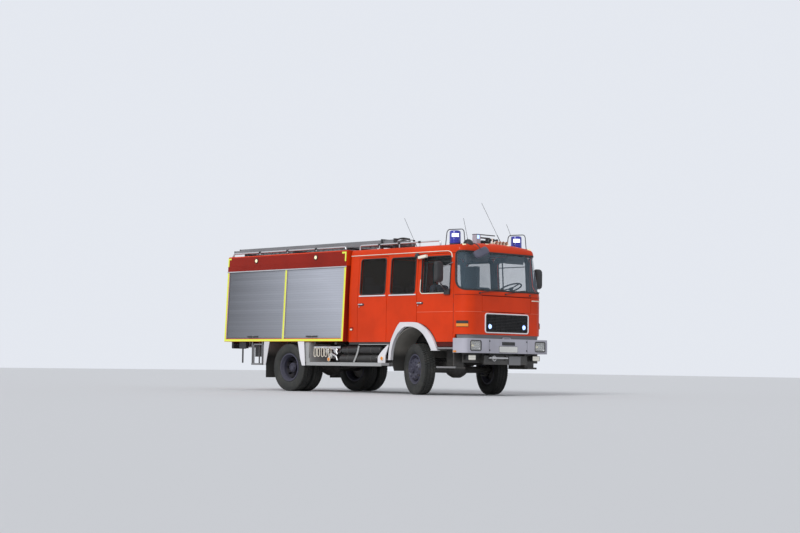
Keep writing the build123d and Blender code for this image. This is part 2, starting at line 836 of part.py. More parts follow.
# Seats: X of the back and front, Y of the middle, width, top of the cushion, top of the back
seat_table = (
    (130, 620, 620, 500, 1640, 2300),
    (130, 620, -620, 500, 1640, 2300),
    (-1840, -1380, 670, 640, 1560, 2230),
    (-1840, -1380, 0, 640, 1560, 2230),
    (-1840, -1380, -670, 640, 1560, 2230),
)
cushion_depth = 110
seat_round = 28
housing_clear = housing_radius + floor_sheet + 2
with BuildPart() as cab_seats:
    for rear, front, y, width, cushion_z, back_z in seat_table:
        with BuildSketch(Plane.XZ.offset(-(y + width / 2))) as side_view:
            with BuildLine():
                Polyline(
                    (from_axle(front), cushion_z - cushion_depth),
                    (from_axle(front), cushion_z),
                    (from_axle(rear) + 60, cushion_z - 20),
                    (from_axle(rear) + 10, back_z),
                    (from_axle(rear) - 68, back_z),
                    (from_axle(rear) - 30, cushion_z - cushion_depth),
                    close=True,
                )
            make_face()
            fillet(side_view.vertices(), radius=seat_round)
        extrude(side_view.sketch, amount=width)
        with BuildSketch(Plane.YZ.offset(from_axle(rear) - 62)) as head_rest:
            with Locations((y, back_z + 50)):
                RectangleRounded(270, 170, 40)
        extrude(head_rest.sketch, amount=62)
        block(
            (from_axle(rear) + 20, from_axle(front) - 60),
            (y - width / 2 + 50, y + width / 2 - 50),
            (floor_z + floor_sheet + 1, cushion_z - cushion_depth),
        )
    with Locations((from_axle(arch_centre), 0, arch_centre_z)):
        Cylinder(housing_clear, 3000, rotation=(90, 0, 0), mode=Mode.SUBTRACT)
write(cab_seats, "cab_seats")


# Front wheel arches: silver trims outside the body, and dark liners with mudflaps behind all wheels
def arch_ring(outer, inner, low_rear, low_front, flats=0):
    """A band round the front wheel arch, cut off at its two feet: round, or bent from flat strips."""
    with Locations((from_axle(arch_centre), arch_centre_z)):
        if flats:
            RegularPolygon(outer, flats)
            RegularPolygon(inner, flats, mode=Mode.SUBTRACT)
        else:
            Circle(outer)
            Circle(inner, mode=Mode.SUBTRACT)
    with Locations((from_axle(arch_centre) - 1000, low_rear - 1000)):
        Rectangle(2000, 2000, mode=Mode.SUBTRACT)
    with Locations((from_axle(arch_centre) + 1000, low_front - 1000)):
        Rectangle(2000, 2000, mode=Mode.SUBTRACT)


skirt_y = body_half_width - 16
front_skirt = ((-3445, body_bottom_z), (-3300, body_bottom_z), (-3175, 574), (-3305, 574), (-3380, 574))
rear_skirt = ((-4400, body_bottom_z), (-4600, body_bottom_z), (-4588, 543), (-4504, 543))
with BuildPart() as arch_trims:
    with BuildSketch(Plane.XZ.offset(cab_half_width - 20)) as trim:
        arch_ring(arch_outer_radius, arch_inner_radius, arch_rear_z, arch_front_z)
    extrude(trim.sketch, amount=arch_proud + 20)
    chamfer(arch_trims.faces().sort_by(Axis.Y)[0].edges().filter_by(GeomType.CIRCLE), length=14)
    for outline in (front_skirt, rear_skirt):
        with BuildSketch(Plane.XZ.offset(skirt_y)) as skirt:
            with BuildLine():
                Polyline(*[(from_axle(x), z) for x, z in outline], close=True)
            make_face()
        extrude(skirt.sketch, amount=14)
    mirror(about=Plane.XZ)
write(arch_trims, "arch_trims")

liner_flats = 24
with BuildPart() as wheel_liners:
    with BuildSketch(Plane.XZ.offset(560)) as liner:
        arch_ring(arch_inner_radius + 20, arch_inner_radius, 460, arch_front_z, liner_flats)
    extrude(liner.sketch, amount=cab_half_width - 20 - 560)
    block((from_axle(-4500), from_axle(-4488)), (-1220, -620), (280, body_bottom_z))
    block((from_axle(-3100), from_axle(-3088)), (-1220, -620), (700, body_bottom_z))
    mirror(about=Plane.XZ)
write(wheel_liners, "wheel_liners")


# Running boards between the wheels, and the two steps ahead of each front wheel
with BuildPart() as running_boards:
    block((from_axle(-3120), from_axle(-700)), (-1220, -880), (425, 500))
    block((from_axle(-3120) + 6, from_axle(-700) - 6), (-1214, -870), (415, 494), mode=Mode.SUBTRACT)
    for x in (-2900, -2380, -930):
        block((from_axle(x) - 20, from_axle(x) + 20), (-960, -900), (490, 760))
        block((from_axle(x) - 20, from_axle(x) + 20), (-960, -rail_outer_y), (740, 780))
    mirror(about=Plane.XZ)
write(running_boards, "running_boards")

with BuildPart() as entry_steps:
    block((from_axle(600), from_axle(1040)), (-1170, -900), (892, 926))
    block((from_axle(600), from_axle(1100)), (-1170, -900), (524, 556))
    block((from_axle(600), from_axle(1040)), (-900, -880), (524, floor_z))
    block((from_axle(1020), from_axle(1040)), (-1150, -890), (540, 900))
    mirror(about=Plane.XZ)
write(entry_steps, "entry_steps")


# Bumper: a folded sheet that wraps round the corners, with openings for the headlamps
def bumper_plan(inset):
    """The bumper's outline from above, drawn in by inset on its three outer sides."""
    half = bumper_half_width - inset
    with BuildLine() as outline:
        Polyline(
            (from_axle(bumper_wrap), -half),
            (from_axle(bumper_front) - inset, -half),
            (from_axle(bumper_front) - inset, half),
            (from_axle(bumper_wrap), half),
            close=True,
        )
    make_face(outline.edges())


with BuildPart() as bumper:
    with BuildSketch(Plane.XY.offset(bumper_bottom_z)) as plan:
        bumper_plan(0)
        fillet(plan.vertices().group_by(Axis.X)[-1], radius=110)
    extrude(plan.sketch, amount=bumper_top_z - bumper_bottom_z)
    with BuildSketch(Plane.XY.offset(bumper_bottom_z - 10)) as plan:
        bumper_plan(bumper_sheet)
        fillet(plan.vertices().group_by(Axis.X)[-1], radius=110 - bumper_sheet)
        with Locations((from_axle(bumper_wrap), 0)):
            Rectangle(40, 2 * (bumper_half_width - bumper_sheet))
    extrude(plan.sketch, amount=bumper_top_z - bumper_bottom_z + 10 - bumper_sheet, mode=Mode.SUBTRACT)
    block(
        (from_axle(bumper_wrap) - 10, from_axle(bumper_front) - 190),
        (-bumper_half_width + 60, bumper_half_width - 60),
        (bumper_top_z - 40, bumper_top_z + 5),
        mode=Mode.SUBTRACT,
    )
    with BuildSketch(Plane.YZ.offset(from_axle(bumper_front) - 60)) as lamp_holes:
        for side in (-1, 1):
            with Locations((side * headlamp_y, headlamp_z)):
                RectangleRounded(headlamp_size[0], headlamp_size[1], 30)
    extrude(lamp_holes.sketch, amount=100, mode=Mode.SUBTRACT)
    with BuildSketch(Plane.YZ.offset(from_axle(bumper_front))) as lamp_frames:
        for side in (-1, 1):
            with Locations((side * headlamp_y, headlamp_z)):
                RectangleRounded(headlamp_size[0] + 44, headlamp_size[1] + 50, 44)
                RectangleRounded(headlamp_size[0], headlamp_size[1], 30, mode=Mode.SUBTRACT)
    extrude(lamp_frames.sketch, amount=lamp_frame_depth)
    with BuildSketch(Plane.YZ.offset(from_axle(bumper_front) - 60)) as bolt_holes:
        with Locations((0, sum(bolt_hole_z) / 2)):
            with GridLocations(2 * bolt_hole_y, bolt_hole_z[1] - bolt_hole_z[0], 2, 2):
                Circle(bolt_hole_radius)
    extrude(bolt_holes.sketch, amount=100, mode=Mode.SUBTRACT)
    for side in (-1, 1):
        edges = sorted((side * (rail_outer_y - 70), side * rail_outer_y))
        block((from_axle(frame_front), from_axle(bumper_front) - bumper_sheet), edges, (850, 930))
write(bumper, "bumper")

with BuildPart() as front_lamps:
    for side in (-1, 1):
        with BuildSketch(Plane.YZ.offset(from_axle(bumper_front) - 120)) as lamp:
            with Locations((side * headlamp_y, headlamp_z)):
                RectangleRounded(headlamp_size[0] - 4, headlamp_size[1] - 4, 28)
        extrude(lamp.sketch, amount=124)
        with BuildSketch(Plane.YZ.offset(from_axle(bumper_front) - 190)) as fog:
            with Locations((side * 925, 737)):
                RectangleRounded(230, 104, 12)
        extrude(fog.sketch, amount=90)
write(front_lamps, "front_lamps")

with BuildPart() as bumper_apron:
    block((from_axle(frame_front), from_axle(frame_front) + 40), (-620, 620), (607, 780))
    for side in (-1, 1):
        edges = sorted((side * 440, side * 1080))
        block((from_axle(1190), from_axle(1202)), edges, (640, 860))
        edges = sorted((side * 600, side * 620))
        block((from_axle(1202), from_axle(frame_front)), edges, (640, 860))
write(bumper_apron, "bumper_apron")


# Lamps, horns and racks on the roof
beacon_place = (766, 887)
beacon_radius = 104
beacon_span_z = (2862, 3152)
with BuildPart() as beacons:
    for side in (-1, 1):
        with Locations((from_axle(beacon_place[0]), side * beacon_place[1], sum(beacon_span_z) / 2)):
            Cylinder(beacon_radius, beacon_span_z[1] - beacon_span_z[0])
    chamfer(beacons.edges().filter_by(GeomType.CIRCLE).group_by(Axis.Z)[-1], length=22)
    add(cab_outside, mode=Mode.SUBTRACT)
write(beacons, "beacons")

guard_wire = 9
with BuildPart() as beacon_guards:
    for side in (-1, 1):
        y = side * beacon_place[1]
        x = from_axle(beacon_place[0])
        with BuildLine() as hoop:
            FilletPolyline(
                (x - 262, y, 2850),
                (x - 205, y, 3176),
                (x + 205, y, 3166),
                (x + 262, y, 2830),
                radius=70,
            )
        with BuildSketch(Plane(origin=(x - 262, y, 2850), x_dir=(0, 1, 0), z_dir=hoop.edges()[0] % 0)) as wire:
            RegularPolygon(guard_wire, 6)
        sweep(wire.sketch, path=hoop.wires()[0])
    add(cab_outside, mode=Mode.SUBTRACT)
write(beacon_guards, "beacon_guards")

trumpet = ((0, 0), (0, 16), (300, 24), (400, 52), (412, 52), (412, 0))
with BuildPart() as horns:
    block((from_axle(700), from_axle(900)), (-560, -340), (2880, 3135))
    block((from_axle(780), from_axle(810)), (-345, 120), (3085, 3110))
    for y in (130, 255, 380, 505):
        turned(trumpet, (from_axle(520), y, 2995), (1, 0, 0), 16)
    block((from_axle(540), from_axle(600)), (60, 570), (2895, 2990))
    add(cab_outside, mode=Mode.SUBTRACT)
write(horns, "horns")

rail_wire = 17
rail_table = ((-5880, -2100, 1090, 2990, body_top_z), (-1850, 520, 985, 2985, 2860))
with BuildPart() as roof_rails:
    for side in (-1, 1):
        for rear, front, y, z, foot_z in rail_table:
            y = side * y
            with BuildSketch(Plane.YZ.offset(from_axle(rear))) as tube:
                with Locations((y, z)):
                    RegularPolygon(rail_wire, 8)
            extrude(tube.sketch, amount=front - rear)
            count = 5
            for post in range(count):
                x = from_axle(rear + 40 + post * (front - rear - 80) / (count - 1))
                block((x - 12, x + 12), (y - 12, y + 12), (foot_z, z))
    add(cab_outside, mode=Mode.SUBTRACT)
write(roof_rails, "roof_rails")

# Ladder sections: X of the two ends, Y of the middle, width, Z of the foot, rail height, rail thickness, rungs
ladder_table = {
    "extension_ladder": (
        (-6040, -800, -660, 520, 2990, 80, 30, 18),
        (-5900, -900, -660, 440, 3048, 56, 24, 17),
    ),
    "plug_ladder": ((-5500, -2800, 620, 460, 2990, 90, 28, 9),),
}
rung_radius = 15
for name, sections in ladder_table.items():
    with BuildPart() as ladder:
        for rear, front, y, width, foot_z, height, thickness, rungs in sections:
            for side in (-1, 1):
                outer = y + side * width / 2
                edges = sorted((outer, outer - side * thickness))
                block((from_axle(rear), from_axle(front)), edges, (foot_z, foot_z + height))
            for rung in range(rungs):
                x = from_axle(rear + 140 + rung * (front - rear - 280) / (rungs - 1))
                middle_z = foot_z + height / 2
                half = width / 2 - thickness / 2
                bar((x, y - half, middle_z), (x, y + half, middle_z), rung_radius, 6)
    write(ladder, name)

bar_span_z = (2950, 2990)
strap_top_z = 3108
with BuildPart() as ladder_gantry:
    for x in (-5600, -3950, -2250):
        block((from_axle(x) - 25, from_axle(x) + 25), (-960, 960), bar_span_z)
        for y in (-930, 0, 930):
            block((from_axle(x) - 25, from_axle(x) + 25), (y - 25, y + 25), (body_top_z, 2952))
    for x in (-1230, -860):
        block((from_axle(x) - 25, from_axle(x) + 25), (-960, -370), bar_span_z)
        for y in (-930, -400):
            block((from_axle(x) - 25, from_axle(x) + 25), (y - 25, y + 25), (2870, 2952))
        for low, high in ((-950, -924), (-396, -370)):
            block((from_axle(x) - 20, from_axle(x) + 20), (low, high), (bar_span_z[1] - 2, strap_top_z))
        block((from_axle(x) - 20, from_axle(x) + 20), (-950, -370), (strap_top_z - 2, strap_top_z + 10))
    add(cab_outside, mode=Mode.SUBTRACT)
write(ladder_gantry, "ladder_gantry")


# Whip antennas on the cab roof: distance ahead of the front axle, Y and Z of the foot, then of the tip
whip_table = (
    ((-1095, 0, 2900), (-1542, 0, 3627)),
    ((889, -600, 2880), (727, -600, 3463)),
    ((960, 318, 2900), (350, 318, 3852)),
    ((1040, 600, 2880), (774, 600, 3416)),
)
with BuildPart() as antennas:
    for foot, tip in whip_table:
        start = Vector(from_axle(foot[0]), foot[1], foot[2])
        end = Vector(from_axle(tip[0]), tip[1], tip[2])
        neck = start + (end - start) * 0.3
        bar(start, neck, 8, 6)
        bar(neck - (end - start) * 0.02, end, 4, 6)
        with Locations((start.X, start.Y, start.Z + 18)):
            Cylinder(26, 50)
    add(cab_outside, mode=Mode.SUBTRACT)
write(antennas, "antennas")


# Door mirrors: a tapered housing with a recess for its glass, on an arm from a foot on the door
mirror_place = (840, 1380, 2368)
mirror_size = (200, 406)
mirror_depth = 90
for side, word in ((-1, "right"), (1, "left")):
    x, y, z = from_axle(mirror_place[0]), side * mirror_place[1], mirror_place[2]
    with BuildPart() as mirror_piece:
        with BuildSketch(Plane.YZ.offset(x - mirror_depth / 2)) as housing:
            with Locations((y, z)):
                RectangleRounded(*mirror_size, 60)
        extrude(housing.sketch, amount=mirror_depth, taper=14)
        with BuildSketch(Plane.YZ.offset(x - mirror_depth / 2)) as recess:
            with Locations((y, z)):
                RectangleRounded(mirror_size[0] - 24, mirror_size[1] - 24, 50)
        extrude(recess.sketch, amount=8, mode=Mode.SUBTRACT)
        foot = sorted((side * (cab_half_width - 60), side * (cab_half_width + 36)))
        block((from_axle(760), from_axle(915)), foot, (1938, 2050))
        arm_foot = (from_axle(850), side * (cab_half_width + 10), 2010)
        bar(arm_foot, (x, side * (mirror_place[1] - 10), z - mirror_size[1] / 2 + 20), 16)
        bar((x, side * (mirror_place[1] - 60), 2440), (from_axle(945), side * (cab_half_width - 80), 2565), 7, 6)
        add(cab_outside, mode=Mode.SUBTRACT)
    write(mirror_piece, f"{word}_mirror")

# Kerb mirror over the top corner of the windscreen, on an arm from the roof's brow
kerb_place = (1295, -710, 2762)
kerb_size = (380, 172)
with BuildPart() as kerb_mirror:
    with BuildSketch(Plane.YZ.offset(from_axle(kerb_place[0]))) as housing:
        with Locations((kerb_place[1], kerb_place[2])):
            RectangleRounded(*kerb_size, 60)
    extrude(housing.sketch, amount=92, taper=14)
    bar((from_axle(1130), -820, 2860), (from_axle(1340), -800, 2818), 11)
    add(cab_outside, mode=Mode.SUBTRACT)
write(kerb_mirror, "kerb_mirror")


# Rear end: lamp clusters hung under the body, towing coupling and steps
with BuildPart() as tail_lamps:
    for side in (-1, 1):
        with BuildSketch(Plane.YZ.offset(from_axle(body_rear) + 10)) as cluster:
            with Locations((side * 1010, 962)):
                RectangleRounded(370, 132, 24)
        extrude(cluster.sketch, amount=76)
        for y in (side * 900, side * 1120):
            block((from_axle(body_rear) + 40, from_axle(body_rear) + 60), (y - 15, y + 15), (1020, body_bottom_z))
write(tail_lamps, "tail_lamps")

with BuildPart() as tow_coupling:
    block((from_axle(frame_rear) - 20, from_axle(frame_rear)), (-240, 240), (760, 940))
    for lip_z in (790, 870):
        with BuildSketch(Plane.XY.offset(lip_z)) as lip:
            with Locations((from_axle(frame_rear) - 90, 0)):
                Circle(70)
                Circle(towing_pin_radius, mode=Mode.SUBTRACT)
            with Locations((from_axle(frame_rear) - 45, 0)):
                Rectangle(50, 140)
        extrude(lip.sketch, amount=28)
write(tow_coupling, "tow_coupling")

with BuildPart() as rear_steps:
    block((from_axle(-4990), from_axle(-4620)), (-1230, -1010), (542, 580))
    for x in (-4980, -4640):
        block((from_axle(x), from_axle(x) + 24), (-1230, -1206), (542, body_bottom_z))
        block((from_axle(x), from_axle(x) + 24), (-1034, -1010), (542, body_bottom_z))
    mirror(about=Plane.XZ)
write(rear_steps, "rear_steps")
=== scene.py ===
"""Finishes and fine pieces of a crew-cab fire engine, built round its packed construction.

Metres. +X is forward, +Y is the vehicle's left, +Z is up, and the origin is on the ground under the middle.
Places along the vehicle are given ahead of the front axle, and ahead() turns them into X.
"""

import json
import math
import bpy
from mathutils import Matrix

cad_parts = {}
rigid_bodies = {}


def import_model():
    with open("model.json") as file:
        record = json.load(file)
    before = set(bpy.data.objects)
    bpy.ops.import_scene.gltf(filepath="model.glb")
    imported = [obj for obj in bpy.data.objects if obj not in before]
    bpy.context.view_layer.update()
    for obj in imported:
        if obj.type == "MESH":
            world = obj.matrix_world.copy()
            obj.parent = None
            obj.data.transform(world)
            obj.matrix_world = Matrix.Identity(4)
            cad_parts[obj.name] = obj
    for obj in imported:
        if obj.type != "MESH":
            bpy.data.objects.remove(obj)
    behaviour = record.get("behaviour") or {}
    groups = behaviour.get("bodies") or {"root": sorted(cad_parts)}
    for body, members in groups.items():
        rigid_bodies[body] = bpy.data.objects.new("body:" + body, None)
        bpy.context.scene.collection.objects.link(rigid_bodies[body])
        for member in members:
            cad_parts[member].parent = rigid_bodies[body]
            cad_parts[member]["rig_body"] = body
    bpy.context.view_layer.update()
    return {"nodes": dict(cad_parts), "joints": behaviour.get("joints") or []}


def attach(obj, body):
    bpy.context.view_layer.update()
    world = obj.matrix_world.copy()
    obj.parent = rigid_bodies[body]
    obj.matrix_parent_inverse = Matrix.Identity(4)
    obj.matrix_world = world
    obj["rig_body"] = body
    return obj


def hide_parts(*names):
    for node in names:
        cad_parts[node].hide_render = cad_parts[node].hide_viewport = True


bl_info = {
    "name": "Fire engine",
    "version": (1, 0, 0),
    "blender": (4, 5, 0),
    "location": "View3D > Sidebar > Fire engine",
    "description": "Builds the finishes and fine pieces of a crew-cab fire engine",
    "category": "Object",
}

import bmesh
import bpy
import numpy as np
from bpy.props import FloatProperty, FloatVectorProperty, IntProperty, PointerProperty
from bpy.types import Operator, Panel, PropertyGroup

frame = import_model()

FRONT_AXLE_X = 2.31
SIDES = ((-1, "right"), (1, "left"))

# The cab's outside
CAB_HALF = 1.14
CAB_NOSE = 1.356
CAB_REAR = -1.962
BELT_Z = 1.95
DRIP_Z = 2.785
CAB_LEAN = 0.055
BOW_RADIUS = 25.0
CORNER_RADIUS = 0.29
CORNER_SHRINK = 0.15
SCREEN_FOOT_Z = 1.975
SCREEN_RAKE = 0.2
FRONT_PANEL_REAR = 0.998

# The superstructure's outside
BODY_HALF = 1.25
BODY_LEAN = 0.086
BODY_BOTTOM = 1.045
BODY_TOP = 2.92
BODY_FRONT = -2.012
BODY_REAR = -5.926
SHUTTER_TOP = 2.566
SLAT_FOOT = 1.11
SLAT_PITCH = 0.049

UP, FORWARD, BACKWARD, LEFTWARD, RIGHTWARD = (0, 0, 1), (1, 0, 0), (-1, 0, 0), (0, 1, 0), (0, -1, 0)


def ahead(distance):
    """X of a place that lies this far ahead of the front axle."""
    return FRONT_AXLE_X + distance


def cab_side(z):
    """Half width of the cab at a height: upright to the belt, then a straight lean inwards."""
    return CAB_HALF - CAB_LEAN * np.clip((z - BELT_Z) / (DRIP_Z - BELT_Z), 0, 1)


def body_side(z):
    """Half width of the superstructure at a height: one straight lean inwards."""
    return BODY_HALF - BODY_LEAN * (z - BODY_BOTTOM) / (BODY_TOP - BODY_BOTTOM)


def front_form(z, inset=0.0):
    """Half width, foremost place and corner radius of the cab's front at a height, drawn in by inset."""
    climb = np.clip((z - SCREEN_FOOT_Z) / (DRIP_Z - SCREEN_FOOT_Z), 0, 1)
    nose = CAB_NOSE - SCREEN_RAKE * climb - inset
    radius = CORNER_RADIUS - CORNER_SHRINK * climb - inset
    return cab_side(z) - inset, nose, radius


def cab_front(y, z):
    """X of the cab's front: a wide bow between round corners, leaning back above the screen's foot."""
    half, nose, radius = front_form(z)
    y = np.abs(np.asarray(y, float))
    bow = nose - np.minimum(y, half - radius) ** 2 / (2 * BOW_RADIUS)
    beyond = np.clip(y - (half - radius), 0, radius)
    return ahead(bow - radius + np.sqrt(np.maximum(radius**2 - beyond**2, 0)))


def front_skin(u, z, inset=0.0):
    """Points of the cab's front at u from -1 (right edge) to 1 (left edge) and a height, drawn in by inset.

    From its end, |u| runs over 0.04 of straight side and 0.28 of quarter circle, then over the bow to the
    middle.
    """
    u, z, inset = np.broadcast_arrays(np.asarray(u, float), z, inset)
    half, nose, radius = front_form(z, inset)
    way = 1 - np.abs(u)
    turn = np.clip((way - 0.04) / 0.28, 0, 1) * math.pi / 2
    y = (half - radius) * (1 - np.clip((way - 0.32) / 0.68, 0, 1))
    corner = nose - (half - radius) ** 2 / (2 * BOW_RADIUS) - radius
    x = FRONT_PANEL_REAR + (corner - FRONT_PANEL_REAR) * np.clip(way / 0.04, 0, 1) + radius * np.sin(turn)
    x = np.where(way > 0.32, nose - y**2 / (2 * BOW_RADIUS), x)
    return np.stack((ahead(x), (y + radius * np.cos(turn)) * np.sign(u), z), -1)


# Shapes
class Shape:
    """Points and faces of a surface before it becomes a mesh."""

    def __init__(self, points, faces):
        self.points = np.asarray(points, float).reshape(-1, 3)
        self.faces = faces

    def __add__(self, other):
        shift = len(self.points)
        moved = [tuple(corner + shift for corner in face) for face in other.faces]
        return Shape(np.vstack((self.points, other.points)), self.faces + moved)

    def moved(self, x, y, z):
        return Shape(self.points + np.array((x, y, z)), self.faces)

    def turned(self, axis, angle, centre=(0, 0, 0)):
        """The shape turned about a line through centre: what lies along the axis stays as it is."""
        axis = np.asarray(axis, float)
        axis = axis / np.linalg.norm(axis)
        arm = self.points - np.asarray(centre, float)
        cosine, sine = math.cos(angle), math.sin(angle)
        along = np.outer(arm @ axis, axis)
        turned = arm * cosine + np.cross(axis, arm) * sine + along * (1 - cosine)
        return Shape(turned + np.asarray(centre, float), self.faces)

    def copies(self, offsets):
        """The shape repeated at every offset."""
        offsets = np.asarray(offsets, float).reshape(-1, 1, 3)
        points = (self.points[None] + offsets).reshape(-1, 3)
        count = len(self.points)
        faces = [
            tuple(corner + copy * count for corner in face)
            for copy in range(len(offsets))
            for face in self.faces
        ]
        return Shape(points, faces)

    def ring(self, count, axis, centre):
        """The shape repeated evenly round an axis."""
        whole = self
        for step in range(1, count):
            whole = whole + self.turned(axis, 2 * math.pi * step / count, centre)
        return whole

    def mirrored(self):
        """The same shape on the other side of the vehicle."""
        return Shape(self.points * (1, -1, 1), [tuple(reversed(face)) for face in self.faces])

    def both(self):
        return self + self.mirrored()

    def on(self, side):
        """The shape, drawn on the right, on the side asked for."""
        return self if side < 0 else self.mirrored()


def grid(points, wrap_rows=False, wrap_columns=False, capped=False):
    """A surface from a grid of points, rows by columns, with a quad between each four neighbours."""
    points = np.asarray(points, float)
    rows, columns = points.shape[:2]
    index = np.arange(rows * columns).reshape(rows, columns)
    row_next = np.roll(index, -1, 0) if wrap_rows else index[1:]
    row_here = index if wrap_rows else index[:-1]
    column_next = (lambda part: np.roll(part, -1, 1)) if wrap_columns else (lambda part: part[:, 1:])
    column_here = (lambda part: part) if wrap_columns else (lambda part: part[:, :-1])
    corners = (column_here(row_here), column_next(row_here), column_next(row_next), column_here(row_next))
    faces = [tuple(face) for face in np.stack([corner.ravel() for corner in corners], 1).tolist()]
    if capped:
        faces.append(tuple(reversed(index[0].tolist())))
        faces.append(tuple(index[-1].tolist()))
    return Shape(points, faces)


def lathe(profile, centre, axis, steps, closed=False):
    """A profile of (along, radius) pairs turned round an axis: centre + along * axis + radius * spoke."""
    axis = np.asarray(axis, float) / np.linalg.norm(axis)
    helper = np.array((0, 0, 1.0)) if abs(axis[2]) < 0.9 else np.array((1.0, 0, 0))
    first = np.cross(helper, axis)
    first = first / np.linalg.norm(first)
    second = np.cross(axis, first)
    turn = np.linspace(0, 2 * math.pi, steps, endpoint=False)
    spoke = np.cos(turn)[:, None] * first + np.sin(turn)[:, None] * second
    profile = np.asarray(profile, float)
    points = np.asarray(centre, float) + profile[:, None, :1] * axis + profile[:, None, 1:] * spoke[None]
    return grid(points, wrap_rows=closed, wrap_columns=True)


def solid(profile, centre, axis, steps):
    """A lathe shape closed flat down to the axis at both ends."""
    return lathe([(profile[0][0], 0), *profile, (profile[-1][0], 0)], centre, axis, steps)


def unit(vectors):
    """The vectors, each divided by its length."""
    return vectors / np.maximum(np.linalg.norm(vectors, axis=-1, keepdims=True), 1e-12)


def sweep(section, path, up, closed=False):
    """A closed outline carried along a path, its second axis kept as near to up as the path allows."""
    path = np.asarray(path, float)
    if closed:
        tangent = unit(np.roll(path, -1, 0) - np.roll(path, 1, 0))
    else:
        tangent = unit(np.gradient(path, axis=0))
    up = np.broadcast_to(np.asarray(up, float), path.shape)
    rise = unit(up - (up * tangent).sum(1, keepdims=True) * tangent)
    across = np.cross(tangent, rise)
    section = np.asarray(section, float)
    points = path[:, None] + section[None, :, :1] * across[:, None] + section[None, :, 1:] * rise[:, None]
    return grid(points, wrap_rows=closed, wrap_columns=True, capped=not closed)


def circle(radius, sides):
    """An outline of evenly spaced points on a circle."""
    turn = np.linspace(0, 2 * math.pi, sides, endpoint=False)
    return np.stack((radius * np.cos(turn), radius * np.sin(turn)), 1)


def tube(path, radius, sides, closed=False, up=(0.13, 0.21, 1)):
    """A round bar along a path."""
    return sweep(circle(radius, sides), path, up, closed)


def curve(corners, count):
    """A smooth line through a few corners: a cubic between each two.

    Its slope at a corner is half the way from the corner before it to the one after it.
    """
    corners = np.asarray(corners, float)
    control = np.vstack((2 * corners[0] - corners[1], corners, 2 * corners[-1] - corners[-2]))
    spans = len(control) - 3
    place = np.linspace(0, spans, count)
    span = np.minimum(place.astype(int), spans - 1)
    t = (place - span)[:, None]
    a, b, c, d = (control[span + shift] for shift in range(4))
    return 0.5 * (2 * b + (c - a) * t + (2 * a - 5 * b + 4 * c - d) * t**2 + (3 * b - a - 3 * c + d) * t**3)


def rounded(width, height, radius, steps):
    """A rectangle with round corners: a quarter circle about each corner's centre."""
    turn = np.linspace(0, math.pi / 2, steps)
    outline = []
    for quarter, (across, rise) in enumerate(((1, 1), (-1, 1), (-1, -1), (1, -1))):
        angle = turn + quarter * math.pi / 2
        centre = np.array((across * (width / 2 - radius), rise * (height / 2 - radius)))
        outline.append(centre + radius * np.stack((np.cos(angle), np.sin(angle)), 1))
    return np.vstack(outline)


def corner_arcs(corners, before, after, radius, steps):
    """At each corner, an arc that touches its two sides, at a radius from the point between them."""
    before = unit(before - corners)
    after = unit(after - corners)
    half = np.arccos(np.clip((before * after).sum(1), -1, 1)) / 2
    middle = corners + unit(before + after) * (radius / np.sin(half))[:, None]
    start = corners + before * (radius / np.tan(half))[:, None]
    end = corners + after * (radius / np.tan(half))[:, None]
    share = np.linspace(0, 1, steps)[None, :, None]
    chord = (start[:, None] - middle[:, None]) * (1 - share) + (end[:, None] - middle[:, None]) * share
    return (middle[:, None] + unit(chord) * radius).reshape(-1, corners.shape[1])


def rounded_corners(corners, radius, steps):
    """A closed outline with each of its corners rounded off."""
    corners = np.asarray(corners, float)
    return corner_arcs(corners, np.roll(corners, 1, 0), np.roll(corners, -1, 0), radius, steps)


def bent(corners, radius, steps):
    """An open path between its corners with each inner one rounded off."""
    corners = np.asarray(corners, float)
    arcs = corner_arcs(corners[1:-1], corners[:-2], corners[2:], radius, steps)
    return np.vstack((corners[:1], arcs, corners[-1:]))


def plate(outline, low, high, normal):
    """An outline carried straight between two planes. It is drawn as YZ, XZ or XY for normal X, Y or Z."""
    outline = np.asarray(outline, float)
    order = {"X": (2, 0, 1), "Y": (0, 2, 1), "Z": (0, 1, 2)}[normal]
    layers = []
    for level in (low, high):
        raw = np.column_stack((outline, np.full(len(outline), level)))
        layers.append(raw[:, order])
    return grid(np.stack(layers), wrap_columns=True, capped=True)


def box(x_span, y_span, z_span):
    """A block between two X, two Y and two Z planes."""
    outline = [(y_span[0], z_span[0]), (y_span[1], z_span[0]), (y_span[1], z_span[1]),
        (y_span[0], z_span[1])]
    return plate(outline, x_span[0], x_span[1], "X")


def block(x_span, y_span, z_span):
    """A box whose X planes are given ahead of the front axle."""
    return box((ahead(x_span[0]), ahead(x_span[1])), y_span, z_span)


def side_strip(outline, thickness, half_width):
    """A thin plate on the leaning right side: an XZ outline laid at Y = -half_width(z), thickness proud."""
    outline = np.asarray(outline, float)
    z = outline[:, 1]
    inner = np.column_stack((outline[:, 0], -half_width(z), z))
    outer = np.column_stack((outline[:, 0], -(half_width(z) + thickness), z))
    return grid(np.stack((inner, outer)), wrap_columns=True, capped=True)


def side_panel(x_span, z_span, thickness, half_width):
    """A side_strip with straight edges."""
    corners = [(x_span[0], z_span[0]), (x_span[1], z_span[0]), (x_span[1], z_span[1]),
        (x_span[0], z_span[1])]
    return side_strip(corners, thickness, half_width)


def layered(outline, centre, levels, capped=False):
    """A YZ outline drawn at several sizes: a share of it at each distance ahead of the centre."""
    x, y, z = centre
    layers = [np.column_stack((np.full(len(outline), x + along), y + outline[:, 0] * share,
        z + outline[:, 1] * share)) for share, along in levels]
    return grid(np.stack(layers), wrap_columns=True, capped=capped)


def closed_strip(rows):
    """Rows of points joined in a ring along their length, with both ends closed."""
    stack = np.stack(rows)
    order = range(len(rows))
    ends = Shape(stack[:, 0], [tuple(reversed(order))]) + Shape(stack[:, -1], [tuple(order)])
    return grid(stack, True) + ends


